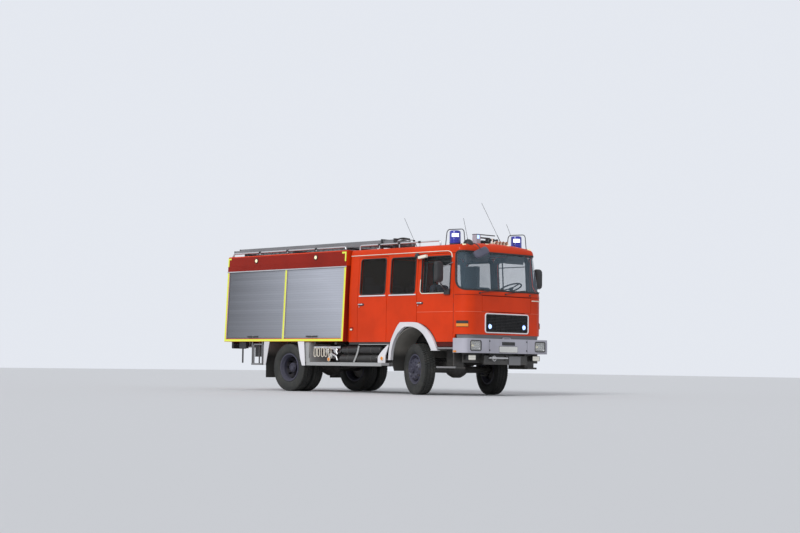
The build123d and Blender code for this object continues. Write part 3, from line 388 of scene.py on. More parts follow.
def total(shapes):
    """Several shapes as one."""
    shapes = list(shapes)
    whole = shapes[0]
    for shape in shapes[1:]:
        whole = whole + shape
    return whole


# Finishes
class Value:
    """A shader socket that can stand in a sum: each operator adds a Math node."""

    def __init__(self, finish, socket):
        self.finish = finish
        self.socket = socket

    def math(self, operation, *operands):
        return self.finish.node("ShaderNodeMath", {"operation": operation}, dict(enumerate(operands)))

    def __add__(self, other):
        return self.math("ADD", self, other)

    def __radd__(self, other):
        return self.math("ADD", other, self)

    def __sub__(self, other):
        return self.math("SUBTRACT", self, other)

    def __rsub__(self, other):
        return self.math("SUBTRACT", other, self)

    def __mul__(self, other):
        return self.math("MULTIPLY", self, other)

    def __rmul__(self, other):
        return self.math("MULTIPLY", other, self)

    def __truediv__(self, other):
        return self.math("DIVIDE", self, other)

    def sine(self):
        return self.math("SINE", self)

    def size(self):
        return self.math("ABSOLUTE", self)

    def least(self, other):
        return self.math("MINIMUM", self, other)

    def most(self, other):
        return self.math("MAXIMUM", self, other)

    def step(self, low, high):
        """0 below low, 1 above high and a smooth rise between."""
        inputs = {"Value": self, "From Min": low, "From Max": high}
        settings = {"interpolation_type": "SMOOTHSTEP"}
        return self.finish.node("ShaderNodeMapRange", settings, inputs, "Result")


class Finish:
    """A procedural material: its shader, its patterns on Object coordinates and what they feed."""

    def __init__(self, name, colour, roughness, metallic=0.0, coat=0.0):
        self.material = bpy.data.materials.new(name)
        self.material.use_nodes = True
        self.material.diffuse_color = (*colour[:3], 1.0)
        self.tree = self.material.node_tree
        self.shader = self.tree.nodes["Principled BSDF"]
        self.colour = tuple(colour[:3])
        self.set("Base Color", (*self.colour, 1.0))
        self.set("Roughness", roughness)
        self.set("Metallic", metallic)
        self.set("Coat Weight", coat)
        self.set("Coat Roughness", 0.06)
        self.spot = self.node("ShaderNodeTexCoord", {}, {}, "Object")

    def node(self, kind, settings, inputs, output=0):
        """Add a node, set its settings, then feed its sockets, and return one output."""
        made = self.tree.nodes.new(kind)
        for key, value in settings.items():
            setattr(made, key, value)
        for key, value in inputs.items():
            self.feed(made.inputs[key], value)
        return Value(self, made.outputs[output])

    def feed(self, socket, value):
        if isinstance(value, Value):
            self.tree.links.new(value.socket, socket)
        else:
            socket.default_value = value

    def set(self, name, value):
        self.feed(self.shader.inputs[name], value)

    def axes(self):
        """The three Object coordinates as values."""
        split = self.tree.nodes.new("ShaderNodeSeparateXYZ")
        self.tree.links.new(self.spot.socket, split.inputs[0])
        return [Value(self, split.outputs[axis]) for axis in range(3)]

    def stretched(self, scale):
        return self.node("ShaderNodeMapping", {}, {"Vector": self.spot, "Scale": scale}, "Vector")

    def noise(self, scale, detail, stretch=(1, 1, 1)):
        inputs = {"Vector": self.stretched(stretch), "Scale": scale, "Detail": detail, "Roughness": 0.55}
        return self.node("ShaderNodeTexNoise", {}, inputs, "Fac")

    def cells(self, scale):
        inputs = {"Vector": self.stretched((1, 1, 1)), "Scale": scale}
        return self.node("ShaderNodeTexVoronoi", {}, inputs, "Distance")

    def mix(self, share, first, second):
        """A colour between two colours, by a share from 0 to 1."""
        made = self.tree.nodes.new("ShaderNodeMix")
        made.data_type = "RGBA"
        for socket, value in ((made.inputs[0], share), (made.inputs[6], first), (made.inputs[7], second)):
            if isinstance(value, tuple) and len(value) == 3:
                value = (*value, 1.0)
            self.feed(socket, value)
        return Value(self, made.outputs[2])

    def bump(self, height, distance, strength):
        inputs = {"Height": height, "Distance": distance, "Strength": strength}
        self.set("Normal", self.node("ShaderNodeBump", {}, inputs, "Normal"))

    def worn(self, dust_colour, dust_top, dust_share, variation=0.06):
        """Slow changes of tone, and road dust that thins out with height."""
        z = self.axes()[2]
        cloud = self.noise(1.3, 5.0)
        fine = self.noise(34.0, 4.0)
        darker = tuple(part * (1 - 2.2 * variation) for part in self.colour)
        lighter = tuple(min(1.0, part * (1 + variation)) for part in self.colour)
        toned = self.mix(cloud.step(0.3, 0.7), darker, lighter)
        low = 1 - z.step(0.2, dust_top)
        dust = (low * (0.35 + 0.65 * fine.step(0.35, 0.75)) * dust_share).least(1.0)
        self.set("Base Color", self.mix(dust, toned, dust_colour))
        return dust


DUST = (0.23, 0.205, 0.175)


def paint(name, colour, roughness=0.4, coat=0.1, dust_top=1.3, dust_share=0.16):
    """Coach paint: a thin clear coat over slightly uneven colour, with a faint orange peel."""
    finish = Finish(name, colour, roughness, coat=coat)
    finish.set("Specular IOR Level", 0.12)
    dust = finish.worn(DUST, dust_top, dust_share)
    peel = finish.noise(210.0, 2.0)
    streak = finish.noise(9.0, 4.0, (1, 1, 0.12))
    finish.set("Roughness", roughness + 0.12 * streak + 0.4 * dust)
    finish.set("Coat Weight", coat * (1 - 0.8 * dust))
    finish.bump(peel, 0.0004, 0.12)
    return finish.material


def chassis_black(name):
    """Satin chassis paint under road dust."""
    finish = Finish(name, (0.022, 0.022, 0.023), 0.5, coat=0.15)
    dust = finish.worn((0.13, 0.12, 0.105), 1.3, 0.75, 0.25)
    grit = finish.noise(120.0, 6.0)
    finish.set("Roughness", 0.42 + 0.35 * dust + 0.1 * grit)
    finish.bump(grit, 0.0012, 0.35)
    return finish.material


def rubber(name, colour=(0.019, 0.02, 0.019)):
    """Tyre or seal rubber with grey dust in its fine grain."""
    finish = Finish(name, colour, 0.72)
    grain = finish.noise(160.0, 5.0)
    smear = finish.noise(7.0, 4.0)
    dusty = finish.mix(smear.step(0.35, 0.8) * 0.55, colour, (0.06, 0.058, 0.05))
    finish.set("Base Color", dusty)
    finish.set("Roughness", 0.62 + 0.22 * smear)
    finish.bump(grain, 0.0008, 0.4)
    return finish.material


def plastic(name, colour, roughness=0.5, grain_scale=260.0):
    """Moulded plastic with a leather-like grain."""
    finish = Finish(name, colour, roughness)
    grain = finish.cells(grain_scale)
    faded = finish.noise(5.0, 4.0)
    finish.set("Base Color", finish.mix(faded.step(0.3, 0.8) * 0.35, colour,
        tuple(0.05 + 0.9 * c for c in colour)))
    finish.set("Roughness", roughness + 0.16 * faded)
    finish.bump(grain, 0.0006, 0.4)
    return finish.material


def liner_with_painted_light(name, flap, arch):
    """The wheel arches' grey liner, which turns black round 0.8 m, above the hanging flaps. The grey is
    partly the liner's own colour and partly painted light, lifted so the inside of the arch reads as lit.
    """
    finish = Finish(name, arch, 0.75)
    z = finish.axes()[2]
    worn = finish.noise(6.0, 4.0)
    share = z.step(0.72, 0.92) * (0.75 + 0.35 * worn)
    # Above the flaps the liner takes the light grey: partly its own colour, partly painted light.
    finish.set("Base Color", finish.mix(share.least(1.0), flap, arch))
    return finish.material


def metal(name, colour, roughness, brushed=(1, 30, 30), dust_share=0.35):
    """Bright metal, brushed along the axis of the smallest scale, dulled by dust near the road."""
    finish = Finish(name, colour, roughness, metallic=0.85)
    dust = finish.worn(DUST, 1.1, dust_share, 0.05)
    lines = finish.noise(26.0, 5.0, brushed)
    patch = finish.noise(3.0, 3.0)
    finish.set("Roughness", roughness + 0.14 * lines + 0.12 * patch + 0.3 * dust)
    finish.set("Metallic", 0.85 - 0.7 * dust)
    finish.bump(lines, 0.0006, 0.3)
    return finish.material


def shutter_metal(name, colour):
    """Anodised slats: each a little apart in tone, with a fine joint, and painted shade that darkens them
    to the foot and the rear.
    """
    finish = Finish(name, colour, 0.42, metallic=0.35)
    x, z = finish.axes()[::2]
    row = (z - SLAT_FOOT) / SLAT_PITCH
    inputs = {"Vector": finish.node("ShaderNodeCombineXYZ", {}, {"X": row.math("FLOOR", row) * 7.31})}
    tone = finish.node("ShaderNodeTexWhiteNoise", {"noise_dimensions": "3D"}, inputs, "Value")
    joint = (row.math("FRACT", row) - 0.93).size().step(0.02, 0.07)
    # Painted shade: the slats darken towards the rear and the foot and lighten forwards and upwards, over
    # each slat's random tone.
    light = 0.1 + (x + 3.0) * (0.2 + 0.1 * (z - 1.1)) + 0.1 * tone
    dark = tuple(part * 0.3 for part in colour)
    toned = finish.mix(light.least(1.0).most(0.0), dark, colour)
    finish.set("Base Color", finish.mix(joint, finish.mix(0.3, toned, (0.08, 0.085, 0.1)), toned))
    lines = finish.noise(30.0, 4.0, (1, 20, 20))
    finish.set("Roughness", 0.4 + 0.12 * lines + 0.05 * tone)
    finish.bump(lines, 0.0003, 0.12)
    return finish.material


def glass(name, colour, alpha):
    """Window glass: a thin tint that shows what is behind it, with faint wipe marks."""
    clean = 0.03
    finish = Finish(name, colour, clean)
    finish.set("Specular IOR Level", 0.3)
    haze = finish.noise(2.2, 4.0)
    finish.set("Alpha", (alpha + 0.05 * haze.step(0.4, 0.9)).least(1.0))
    finish.set("Roughness", clean + 0.06 * haze)
    return finish.material


def lens(name, colour, alpha, ribs, glow=0.0):
    """A moulded lamp lens with fine ribs inside, lit or unlit."""
    finish = Finish(name, colour, 0.16, coat=0.4)
    z = finish.axes()[2]
    ribbing = (z * ribs).sine() * 0.5 + 0.5
    finish.set("Base Color", finish.mix(ribbing * 0.5, tuple(0.6 * c for c in colour), colour))
    finish.set("Alpha", alpha)
    finish.bump(ribbing, 0.002, 0.3)
    if glow:
        finish.set("Emission Color", finish.mix(ribbing * 0.4, colour,
            tuple(0.5 + 0.5 * c for c in colour)))
        finish.set("Emission Strength", glow)
    return finish.material


def tape(name, colour):
    """Fluorescent contour tape: a honeycomb of sealed cells, with a faint painted glow."""
    finish = Finish(name, colour, 0.35, coat=0.6)
    cell = finish.cells(90.0)
    soil = finish.noise(6.0, 5.0)
    honey = finish.mix(cell.step(0.25, 0.5) * 0.22, colour, tuple(0.75 * c for c in colour))
    finish.set("Base Color", finish.mix(soil.step(0.55, 0.9) * 0.3, honey, (0.28, 0.27, 0.12)))
    finish.set("Roughness", 0.3 + 0.3 * soil)
    # A faint glow in the tape's own colour: painted light, since the tape is no lamp; it makes the
    # fluorescent tape read brighter.
    finish.set("Emission Color", (*colour, 1.0))
    finish.set("Emission Strength", 0.08)
    return finish.material


def fabric(name, colour):
    """Woven seat cloth: two crossing sine waves of threads."""
    thread = 0.0022
    finish = Finish(name, colour, 0.9)
    x, y, z = finish.axes()
    turns = 2 * math.pi / thread
    weave = ((x + z) * turns).sine() * (y * turns).sine()
    worn = finish.noise(12.0, 4.0)
    finish.set("Base Color", finish.mix(worn, tuple(0.7 * c for c in colour),
        tuple(min(1, 1.35 * c) for c in colour)))
    finish.set("Roughness", 0.82 + 0.12 * worn)
    finish.bump(weave, 0.0007, 0.5)
    return finish.material


def make_finishes(settings):
    """Every finish of the vehicle, by its plain name."""
    # Cream is the own colour of some fittings, and a painted highlight on the rain rails, the front doors'
    # window trims and the side locks.
    cream = (0.86, 0.8, 0.68)
    return {
        "red": paint("red_paint", tuple(settings.paint)),
        "band": paint("band_red", tuple(settings.band)),
        "silver": paint("silver_paint", tuple(settings.bumper_paint), 0.36, 0.3, 1.1, 0.35),
        "trim": paint("arch_trim_paint", (0.72, 0.71, 0.74), 0.36, 0.2, 0.9, 0.12),
        # The crease's lighter red is a painted highlight along the crease line.
        "crease": paint("crease_light_red", (0.8, 0.15, 0.08)),
        # The sill's very dark red is the cab's red in shade: painted shade.
        "sill": paint("dark_red_sill", (0.085, 0.007, 0.005)),
        "dark_rim": paint("rim_shadow", (0.028, 0.028, 0.038), 0.5),
        "dark_grey": plastic("dark_grey_plastic", (0.085, 0.085, 0.125)),
        "cream": paint("cream_trim", cream, 0.3, 0.3, 1.0, 0.3),
        "chassis": chassis_black("chassis_black"),
        "tank": paint("tank_black", (0.028, 0.028, 0.03), 0.32, 0.4, 1.2, 0.25),
        "rim": paint("rim_paint", tuple(settings.rim_paint), 0.45, 0.1, 1.1, 0.12),
        "tyre": rubber("tyre_rubber"),
        "seal": rubber("window_rubber", (0.018, 0.019, 0.021)),
        "plastic": plastic("black_plastic", (0.022, 0.022, 0.024)),
        "grey": plastic("grey_plastic", (0.19, 0.19, 0.2)),
        "liner": plastic("liner_plastic", (0.055, 0.053, 0.05), 0.7, 120.0),
        # The arch liner's grey is partly painted light.
        "arch_liner": liner_with_painted_light("arch_liner_plastic", (0.04, 0.039, 0.037), (0.3, 0.285, 0.255)),
        "lining": plastic("cab_lining", (0.045, 0.044, 0.045), 0.8, 400.0),
        "water": plastic("water_tank_plastic", (0.7, 0.7, 0.64), 0.5, 60.0),
        "aluminium": metal("aluminium", (0.62, 0.63, 0.65), 0.34),
        "steel": metal("bright_steel", (0.66, 0.66, 0.67), 0.2),
        # The slats' finish holds a painted shade that darkens them to the foot and the rear.
        "slats": shutter_metal("shutter_slats", (0.47, 0.49, 0.55)),
        # Dull, dark aluminium; on the ladders its darkness is painted shade.
        "dull": metal("dull_aluminium", (0.3, 0.3, 0.31), 0.5),
        "sheet": plastic("grey_sheet", (0.35, 0.355, 0.355)),
        "screen": glass("windscreen_glass", (0.17, 0.24, 0.3), 0.18),
        "window": glass("side_glass", (0.05, 0.058, 0.06), 0.14),
        "dim_window": glass("rear_glass", (0.024, 0.02, 0.016), 0.26),
        "blue": lens("blue_lens", (0.006, 0.006, 0.42), 1.0, 90.0, 0.1),
        "blue_light": lens("blue_light", (0.25, 0.42, 1.0), 1.0, 300.0, 2.2),
        "white_light": lens("beacon_light", (0.82, 0.9, 1.0), 1.0, 160.0, 2.6),
        "clear": lens("clear_lens", (0.85, 0.87, 0.86), 0.35, 160.0),
        "warm": lens("band_light", (1.0, 0.9, 0.55), 1.0, 200.0, 0.5),
        "warm_clear": lens("fog_light", (0.86, 0.84, 0.76), 1.0, 160.0, 0.25),
        "amber": lens("amber_lens", (0.95, 0.3, 0.01), 1.0, 260.0, 0.12),
        "ruby": lens("red_lens", (0.55, 0.012, 0.01), 1.0, 260.0, 0.05),
        "tape": tape("contour_tape", tuple(settings.tape)),
        "seat": fabric("seat_cloth", (0.055, 0.06, 0.085)),
        "horn": paint("horn_cream", (0.8, 0.7, 0.56), 0.3, 0.6, 1.0, 0.1),
        "plate": paint("blank_plate", (0.72, 0.72, 0.7), 0.4, 0.4, 1.2, 0.5),
        "mirror": metal("mirror_glass", (0.8, 0.82, 0.84), 0.04, (1, 1, 1), 0.0),
    }


finishes = {}


def to_mesh(name, shape):
    """The shape as a mesh, its doubles merged and its faces turned outwards."""
    mesh = bpy.data.meshes.new(name)
    mesh.from_pydata(shape.points.tolist(), [], shape.faces)
    work = bmesh.new()
    work.from_mesh(mesh)
    bmesh.ops.remove_doubles(work, verts=work.verts, dist=1e-5)
    bmesh.ops.dissolve_degenerate(work, edges=work.edges, dist=1e-6)
    bmesh.ops.recalc_face_normals(work, faces=work.faces)
    work.to_mesh(mesh)
    work.free()
    return mesh


def add_piece(name, mesh, finish, body, bevel, sharp):
    """Put a mesh into the scene with its finish, soft edges and the body that it rides on."""
    mesh.shade_smooth()
    mesh.set_sharp_from_angle(angle=math.radians(sharp))
    mesh.materials.clear()
    mesh.materials.append(finishes[finish])
    made = bpy.data.objects.new(name, mesh)
    bpy.context.scene.collection.objects.link(made)
    if bevel:
        edge = made.modifiers.new("Soft edges", "BEVEL")
        edge.width = bevel
        edge.segments = 2
        edge.limit_method = "ANGLE"
        edge.angle_limit = math.radians(sharp)
        edge.harden_normals = True
        edge.use_clamp_overlap = True
    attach(made, body)
    return made


def piece(name, shape, finish, body="root", bevel=0.0, sharp=32.0, replaces=()):
    """A new piece from a shape."""
    made = add_piece(name, to_mesh(name, shape), finish, body, bevel, sharp)
    if replaces:
        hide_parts(*replaces)
    return made


def dressed(node, finish, bevel, sharp=28.0, top=None):
    """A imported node's shape with merged points and softly rounded edges, cut off above top."""
    source = frame["nodes"][node]
    source.data.materials.clear()
    source.data.materials.append(finishes[finish])
    work = bmesh.new()
    work.from_mesh(source.data)
    bmesh.ops.remove_doubles(work, verts=work.verts, dist=2e-5)
    if top is not None:
        whole = work.verts[:] + work.edges[:] + work.faces[:]
        bmesh.ops.bisect_plane(work, geom=whole, plane_co=(0, 0, top), plane_no=(0, 0, 1), clear_outer=True)
    bmesh.ops.dissolve_limit(work, angle_limit=math.radians(0.6), verts=work.verts, edges=work.edges)
    mesh = bpy.data.meshes.new(node + "_finished")
    work.to_mesh(mesh)
    work.free()
    body = source["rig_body"]
    made = add_piece(node + "_finished", mesh, finish, body, bevel, sharp)
    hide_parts(node)
    return made


# Wheels
def tyre_shape(hub, axis, pitches, depth):
    """A tyre turned round its axle, with its tread cut as two staggered rows of blocks on each half.

    Rows of the grid run across the tyre from bead to bead, and columns run round it. A tread point lies at
    the crown's radius, less the groove's depth where its row and column fall in a groove.
    """
    side = curve([(0.091, 0.298), (0.104, 0.311), (0.1255, 0.345), (0.131, 0.392), (0.127, 0.438),
        (0.119, 0.472)], 20)
    rib = 0.0022 * np.exp(-(((side[:, 1] - 0.33) / 0.006) ** 2)) + 0.002 * np.exp(
        -(((side[:, 1] - 0.425) / 0.007) ** 2))
    side[:, 0] += rib
    shoulder = np.array([(0.1175, 0.481), (0.115, 0.488), (0.111, 0.4945)])
    tread = np.array([0.1085, 0.0915, 0.0705, 0.069, 0.06, 0.0585, 0.032, 0.0065, 0.005])
    crown = np.column_stack((tread, 0.502 - 0.0045 * (tread / 0.112) ** 2))
    half = np.vstack((side, shoulder, crown))
    always = np.concatenate((np.zeros(23), [0, 0, 0, 1, 1, 0, 0, 0, 1]))
    notch = np.concatenate((np.zeros(19), [0.25, 0.5, 0.8, 1.0], [1, 1, 1, 1, 1, 1, 1, 1, 1]))
    outer_row = np.concatenate((np.ones(27), np.zeros(5)))
    inside = np.array([(0.091, 0.279)])
    across = np.concatenate((inside[:, 0], half[:, 0], -half[::-1, 0], -inside[:, 0]))
    radius = np.concatenate((inside[:, 1], half[:, 1], half[::-1, 1], inside[:, 1]))
    always = np.concatenate(([0], always, always[::-1], [0]))
    notch = np.concatenate(([0], notch, notch[::-1], [0]))
    parity = np.concatenate(([1], outer_row, 1 - outer_row[::-1], [0]))
    share = np.array([0.0, 0.03, 0.19, 0.22, 0.5, 0.53, 0.69, 0.72])
    in_even = np.array([0, 1, 1, 0, 0, 0, 0, 0])
    in_odd = np.array([0, 0, 0, 0, 0, 1, 1, 0])
    turn = ((np.arange(pitches)[:, None] + share) / pitches).ravel() * 2 * math.pi
    even, odd = np.tile(in_even, pitches), np.tile(in_odd, pitches)
    crossing = np.where(parity[:, None] > 0.5, odd[None], even[None]) * notch[:, None]
    cut = np.maximum(always[:, None], crossing) * depth
    slant = np.clip(across / 0.11, -1, 1)[:, None] * 0.16 * 2 * math.pi / pitches
    wave = 0.0035 * np.sin(turn * pitches)[None] * (np.abs(across) < 0.1)[:, None]
    angle = turn[None] + slant
    away = (radius[:, None] - cut)[..., None]
    axis = np.asarray(axis, float)
    flat = unit(np.cross((0, 0, 1.0), axis))
    spoke = np.cos(angle)[..., None] * flat + np.sin(angle)[..., None] * np.cross(axis, flat)
    points = np.asarray(hub, float) + (across[:, None] + wave)[..., None] * axis + away * spoke
    return grid(points, wrap_rows=True, wrap_columns=True)


def wheel_nuts(hub, axis, face, ring, count, across_flats=0.017, height=0.02):
    """Hexagonal nuts on their studs, evenly round the wheel's disc."""
    axis = np.asarray(axis, float)
    up = np.array((0, 0, 1.0))
    place = np.asarray(hub, float) + axis * face + up * ring
    nut = solid([(-0.002, across_flats), (height - 0.004, across_flats), (height, across_flats - 0.005)],
        place, axis, 6)
    stud = lathe([(height - 0.004, 0), (height - 0.004, 0.009), (height + 0.012, 0.009),
        (height + 0.014, 0)], place, axis, 10)
    washer = solid([(-0.003, 0.023), (0.003, 0.022)], place, axis, 16)
    return (nut + stud + washer).ring(count, axis, hub)


FRONT_DRUM = [(-0.02, 0.044), (-0.02, 0.12), (0.0, 0.206), (0.092, 0.206), (0.111, 0.18)]
FRONT_HUB = [(0.111, 0.092), (0.132, 0.092), (0.132, 0.074), (0.162, 0.074), (0.174, 0.062), (0.174, 0.0)]
REAR_DRUM = [(-0.15, 0.044), (-0.15, 0.12), (-0.13, 0.206), (-0.03, 0.206), (-0.011, 0.18)]
REAR_HUB = [(-0.011, 0.092), (0.06, 0.092), (0.06, 0.082), (0.174, 0.082), (0.186, 0.07), (0.186, 0.0)]
NUT_RING, SCREW, TWIN_OFFSET = 0.1675, (0.007, 0.006), 0.155


def rim_barrel(hub, axis, offset, dish):
    """A rim's rolled sheet: flanges, bead seats and the well, turned round the axle."""
    outer = [(-0.105, 0.2975), (-0.094, 0.2975), (-0.0925, 0.277), (-0.036, 0.246), (0.044, 0.246),
        (0.0925, 0.277), (0.094, 0.2975), (0.105, 0.2975)]
    inner = [(0.105, 0.27), (0.092, 0.263), (0.048, 0.234), (-0.04, 0.234), (-0.092, 0.263), (-0.105, 0.27)]
    profile = [(offset + dish * along, radius) for along, radius in outer + inner]
    return lathe(profile, hub, axis, 112, closed=True)


def rim_disc(hub, axis, offset, dish, face):
    """A wheel disc with round hand holes.

    Each tenth of the cone is a grid between its hole and its outline. Both are drawn as radius and turn:
    the hole is a circle, and the outline is where a ray from its middle leaves the tenth. The cone's two
    faces are straight lines between a few radii.
    """
    ring, hole, reach, holes = 0.212, 0.0225, 0.028, 10
    half_turn = math.pi / holes
    corner = math.atan2(half_turn * ring, reach)
    ray = np.sort(np.concatenate((np.linspace(0, 2 * math.pi, 40, endpoint=False),
        [corner, math.pi - corner, math.pi + corner, 2 * math.pi - corner])))
    away, around = np.cos(ray), np.sin(ray)
    limit = np.minimum(reach / np.maximum(np.abs(away), 1e-9),
        half_turn * ring / np.maximum(np.abs(around), 1e-9))
    axis = np.asarray(axis, float)
    flat = unit(np.cross((0, 0, 1.0), axis))
    rise = np.cross(axis, flat)
    radii = (0.092, 0.188, 0.24)
    outer_face, inner_face = (face + 0.014, face + 0.014, 0.036), (face, face, 0.01)
    rows = []
    for share, levels in ((1.0, inner_face), (0.12, inner_face), (0.0, inner_face), (0.0, outer_face),
            (0.12, outer_face), (1.0, outer_face)):
        length = hole + share * (limit - hole)
        radius = ring + length * away
        turn = length * around / ring
        along = offset + dish * np.interp(radius, radii, levels)
        spoke = np.cos(turn)[:, None] * flat + np.sin(turn)[:, None] * rise
        rows.append(np.asarray(hub) + along[:, None] * axis + radius[:, None] * spoke)
    tenth = grid(np.stack(rows), wrap_columns=True)
    plain = [(offset + dish * along, radius) for along, radius in ((face + 0.014, 0.1845),
        (face + 0.014, 0.092), (face, 0.092), (face, 0.1845))]
    return tenth.ring(holes, axis, hub) + lathe(plain, hub, axis, 80)


def make_rim(name, hub, axis, body, rims, hub_profile, drum_profile):
    """One wheel's rims with their discs, and the hub and brake drum behind them."""
    barrels = total(rim_barrel(hub, axis, offset, dish) for offset, dish, face in rims)
    discs = total(rim_disc(hub, axis, offset, dish, face) for offset, dish, face in rims)
    piece(f"{name}_barrel", barrels, "rim", body, 0.002, 25, replaces=[name])
    piece(f"{name}_disc", discs, "dark_rim" if "rear" in name else "rim", body, 0.0015, 28)
    piece(f"{name}_hub", lathe(hub_profile, hub, axis, 64), "rim", body, 0.002)
    piece(f"{name}_drum", lathe(drum_profile, hub, axis, 64), "chassis", body, 0.002)


def make_wheels(settings):
    """Tyres with cut tread, and each rim with its nuts, hub screws and cap."""
    joints = {joint["name"]: joint for joint in frame["joints"]}
    tread = settings.tread_pitches, settings.tread_depth
    for side, word in SIDES:
        joint = joints[f"front_{word}_spin"]
        hub, axis = np.array(joint["pos_m"]), np.array(joint["axis"]) * side
        body = f"front_{word}_wheel"
        tyre = tyre_shape(hub, axis, *tread)
        piece(f"front_{word}_tyre_tread", tyre, "tyre", body, replaces=[f"front_{word}_tyre"])
        make_rim(f"front_{word}_rim", hub, axis, body, [(0.0, 1, 0.112)], FRONT_HUB, FRONT_DRUM)
        fixings = wheel_nuts(hub, axis, 0.126, NUT_RING, 10) + wheel_nuts(hub, axis, 0.173, 0.055, 8,
            *SCREW)
        cap = solid([(0.172, 0.038), (0.186, 0.036), (0.19, 0.028)], hub, axis, 32)
        piece(f"front_{word}_wheel_nuts", fixings, "rim", body, sharp=25)
        piece(f"front_{word}_hub_cap", cap, "rim", body, 0.0015)

        hub, axis = np.array(joints[f"rear_{word}_spin"]["pos_m"]), np.array((0.0, side, 0.0))
        body = f"rear_{word}_wheels"
        twins = total(tyre_shape(hub + axis * offset, axis, *tread)
            for offset in (-TWIN_OFFSET, TWIN_OFFSET))
        piece(f"rear_{word}_tyre_treads", twins, "tyre", body, replaces=[f"rear_{word}_tyres"])
        rims = [(-TWIN_OFFSET, 1, 0.141), (TWIN_OFFSET, -1, 0.141)]
        make_rim(f"rear_{word}_rims", hub, axis, body, rims, REAR_HUB, REAR_DRUM)
        fixings = wheel_nuts(hub, axis, 0.014, NUT_RING, 10) + wheel_nuts(hub, axis, 0.186, 0.06, 8, *SCREW)
        flange = lathe([(0.15, 0.08), (0.15, 0.098), (0.163, 0.098), (0.165, 0.08)], hub, axis, 40, True)
        piece(f"rear_{word}_wheel_nuts", fixings, "rim", body, sharp=25)
        piece(f"rear_{word}_hub_flange", flange, "rim", body, 0.0015)


# Superstructure
def make_contour_tape(width):
    """Contour tape along the sides, at the roof's corners, and round the back's leaning edges."""
    rear, front, middle = ahead(BODY_REAR), ahead(BODY_FRONT), ahead(-3.92)
    foot, thin, short, half = BODY_BOTTOM + 0.006, 0.0015, width * 0.8, BODY_HALF - 0.025
    sides = (
        ((rear + 0.004, front - 0.06), (foot, foot + width)),
        ((rear + 0.004, rear + 0.004 + width), (foot + width, SHUTTER_TOP)),
        ((front - 0.062, front - 0.062 + width), (foot, SHUTTER_TOP)),
        ((middle - width / 2, middle + width / 2), (foot + width, SHUTTER_TOP)),
    )
    corners = (
        ((rear + 0.004, rear + 0.11), (2.85, 2.85 + short)),
        ((rear + 0.004, rear + 0.004 + short), (2.7, 2.85)),
        ((front - 0.15, front - 0.02), (2.85, 2.85 + short)),
        ((front - 0.02 - short, front - 0.02), (2.69, 2.85)),
    )
    back = total(box((rear - thin, rear), *spans) for spans in (
        ((-half, half), (foot, foot + width)),
        ((-half, -half + width), (foot + width, 2.8)),
        ((half - width, half), (foot + width, 2.8)),
        ((-half + 0.1, half - 0.1), (2.8, 2.8 + width)),
    ))
    back.points[:, 1] *= body_side(back.points[:, 2]) / BODY_HALF
    marks = total(side_panel(*spans, thin, body_side) for spans in sides)
    marks = marks + total(side_panel(*spans, 0.006, body_side) for spans in corners)
    piece("contour_tape", marks.both() + back, "tape")


def make_body(settings):
    """The superstructure's paint, ribbed band, contour tape, gutter, lamps and shutters."""
    dressed("body_shell", "red", 0.004)
    make_curtains()
    make_contour_tape(settings.tape_width)
    rear, front = ahead(BODY_REAR), ahead(BODY_FRONT)
    ribs = total(
        side_panel((rear + 0.006, front - 0.006), (z, z + 0.009), 0.0045, body_side)
        for z in np.linspace(2.612, 2.702, 4)
    )
    plain = side_panel((rear + 0.006, front - 0.006), (2.591, 2.896), 0.002, body_side)
    piece("band_panel", (ribs + plain).both(), "band", bevel=0.0015)
    gutter = side_panel((rear - 0.002, front + 0.002), (2.568, 2.59), 0.016, body_side)
    piece("body_gutters", gutter.both(), "aluminium", bevel=0.003)
    # The posts on the body's front face take the darker band red: painted shade on faces turned forward.
    post = box((front + 0.001, front + 0.004), (-1.248, -1.14), (1.05, 2.6))
    post.points[:, 1] *= body_side(post.points[:, 2]) / BODY_HALF
    piece("body_front_posts", post.both(), "band")

    places = [(ahead(x), -body_side(2.8), 2.8) for x in (-4.935, -2.977)]
    ring = [(-0.006, 0.0), (-0.006, 0.058), (0.014, 0.056), (0.018, 0.044), (0.012, 0.04), (0.01, 0)]
    dome = [(0.006, 0), (0.006, 0.041), (0.018, 0.036), (0.024, 0.018), (0.025, 0)]
    piece("band_lamp_rings", total(lathe(ring, place, RIGHTWARD, 40) for place in places).both(), "seal")
    piece("band_lamps", total(lathe(dome, place, RIGHTWARD, 40) for place in places).both(), "warm")

    bars, locks = [], []
    z = 1.152
    y = -body_side(z) - 0.002
    for x in (ahead(-4.92), ahead(-2.98)):
        path = [(x - 0.15, y + 0.012, z), (x - 0.15, y - 0.02, z), (x + 0.15, y - 0.02, z),
            (x + 0.15, y + 0.012, z)]
        bars.append(sweep(rounded(0.016, 0.024, 0.006, 3), curve(path, 28), UP))
        locks.append(solid([(0, 0.02), (0.03, 0.019), (0.034, 0.012)], (x, y + 0.01, z), RIGHTWARD, 24))
    piece("shutter_lift_bars", total(bars).both(), "plastic")
    piece("shutter_locks", total(locks).both(), "steel", bevel=0.001)
    guides = total(
        side_panel((ahead(x), ahead(x) + 0.012), (1.108, SHUTTER_TOP), 0.003, body_side)
        for x in (-5.861, -3.961, -3.891, -2.089)
    )
    piece("shutter_guides", guides.both(), "aluminium", bevel=0.001)

    deck = total(
        box((ahead(start), ahead(start) + 0.91), (-1.04, 1.04), (BODY_TOP, BODY_TOP + 0.004))
        for start in np.arange(BODY_REAR + 0.1, BODY_FRONT - 0.9, 0.95)
    )
    tread = lozenges((rear + 0.12, front - 0.12), (-1.02, 1.02), BODY_TOP + 0.004, 0.055)
    piece("roof_deck", deck, "aluminium", bevel=0.002)
    piece("roof_deck_tread", tread, "aluminium")
    dressed("water_tank", "water", 0.01)


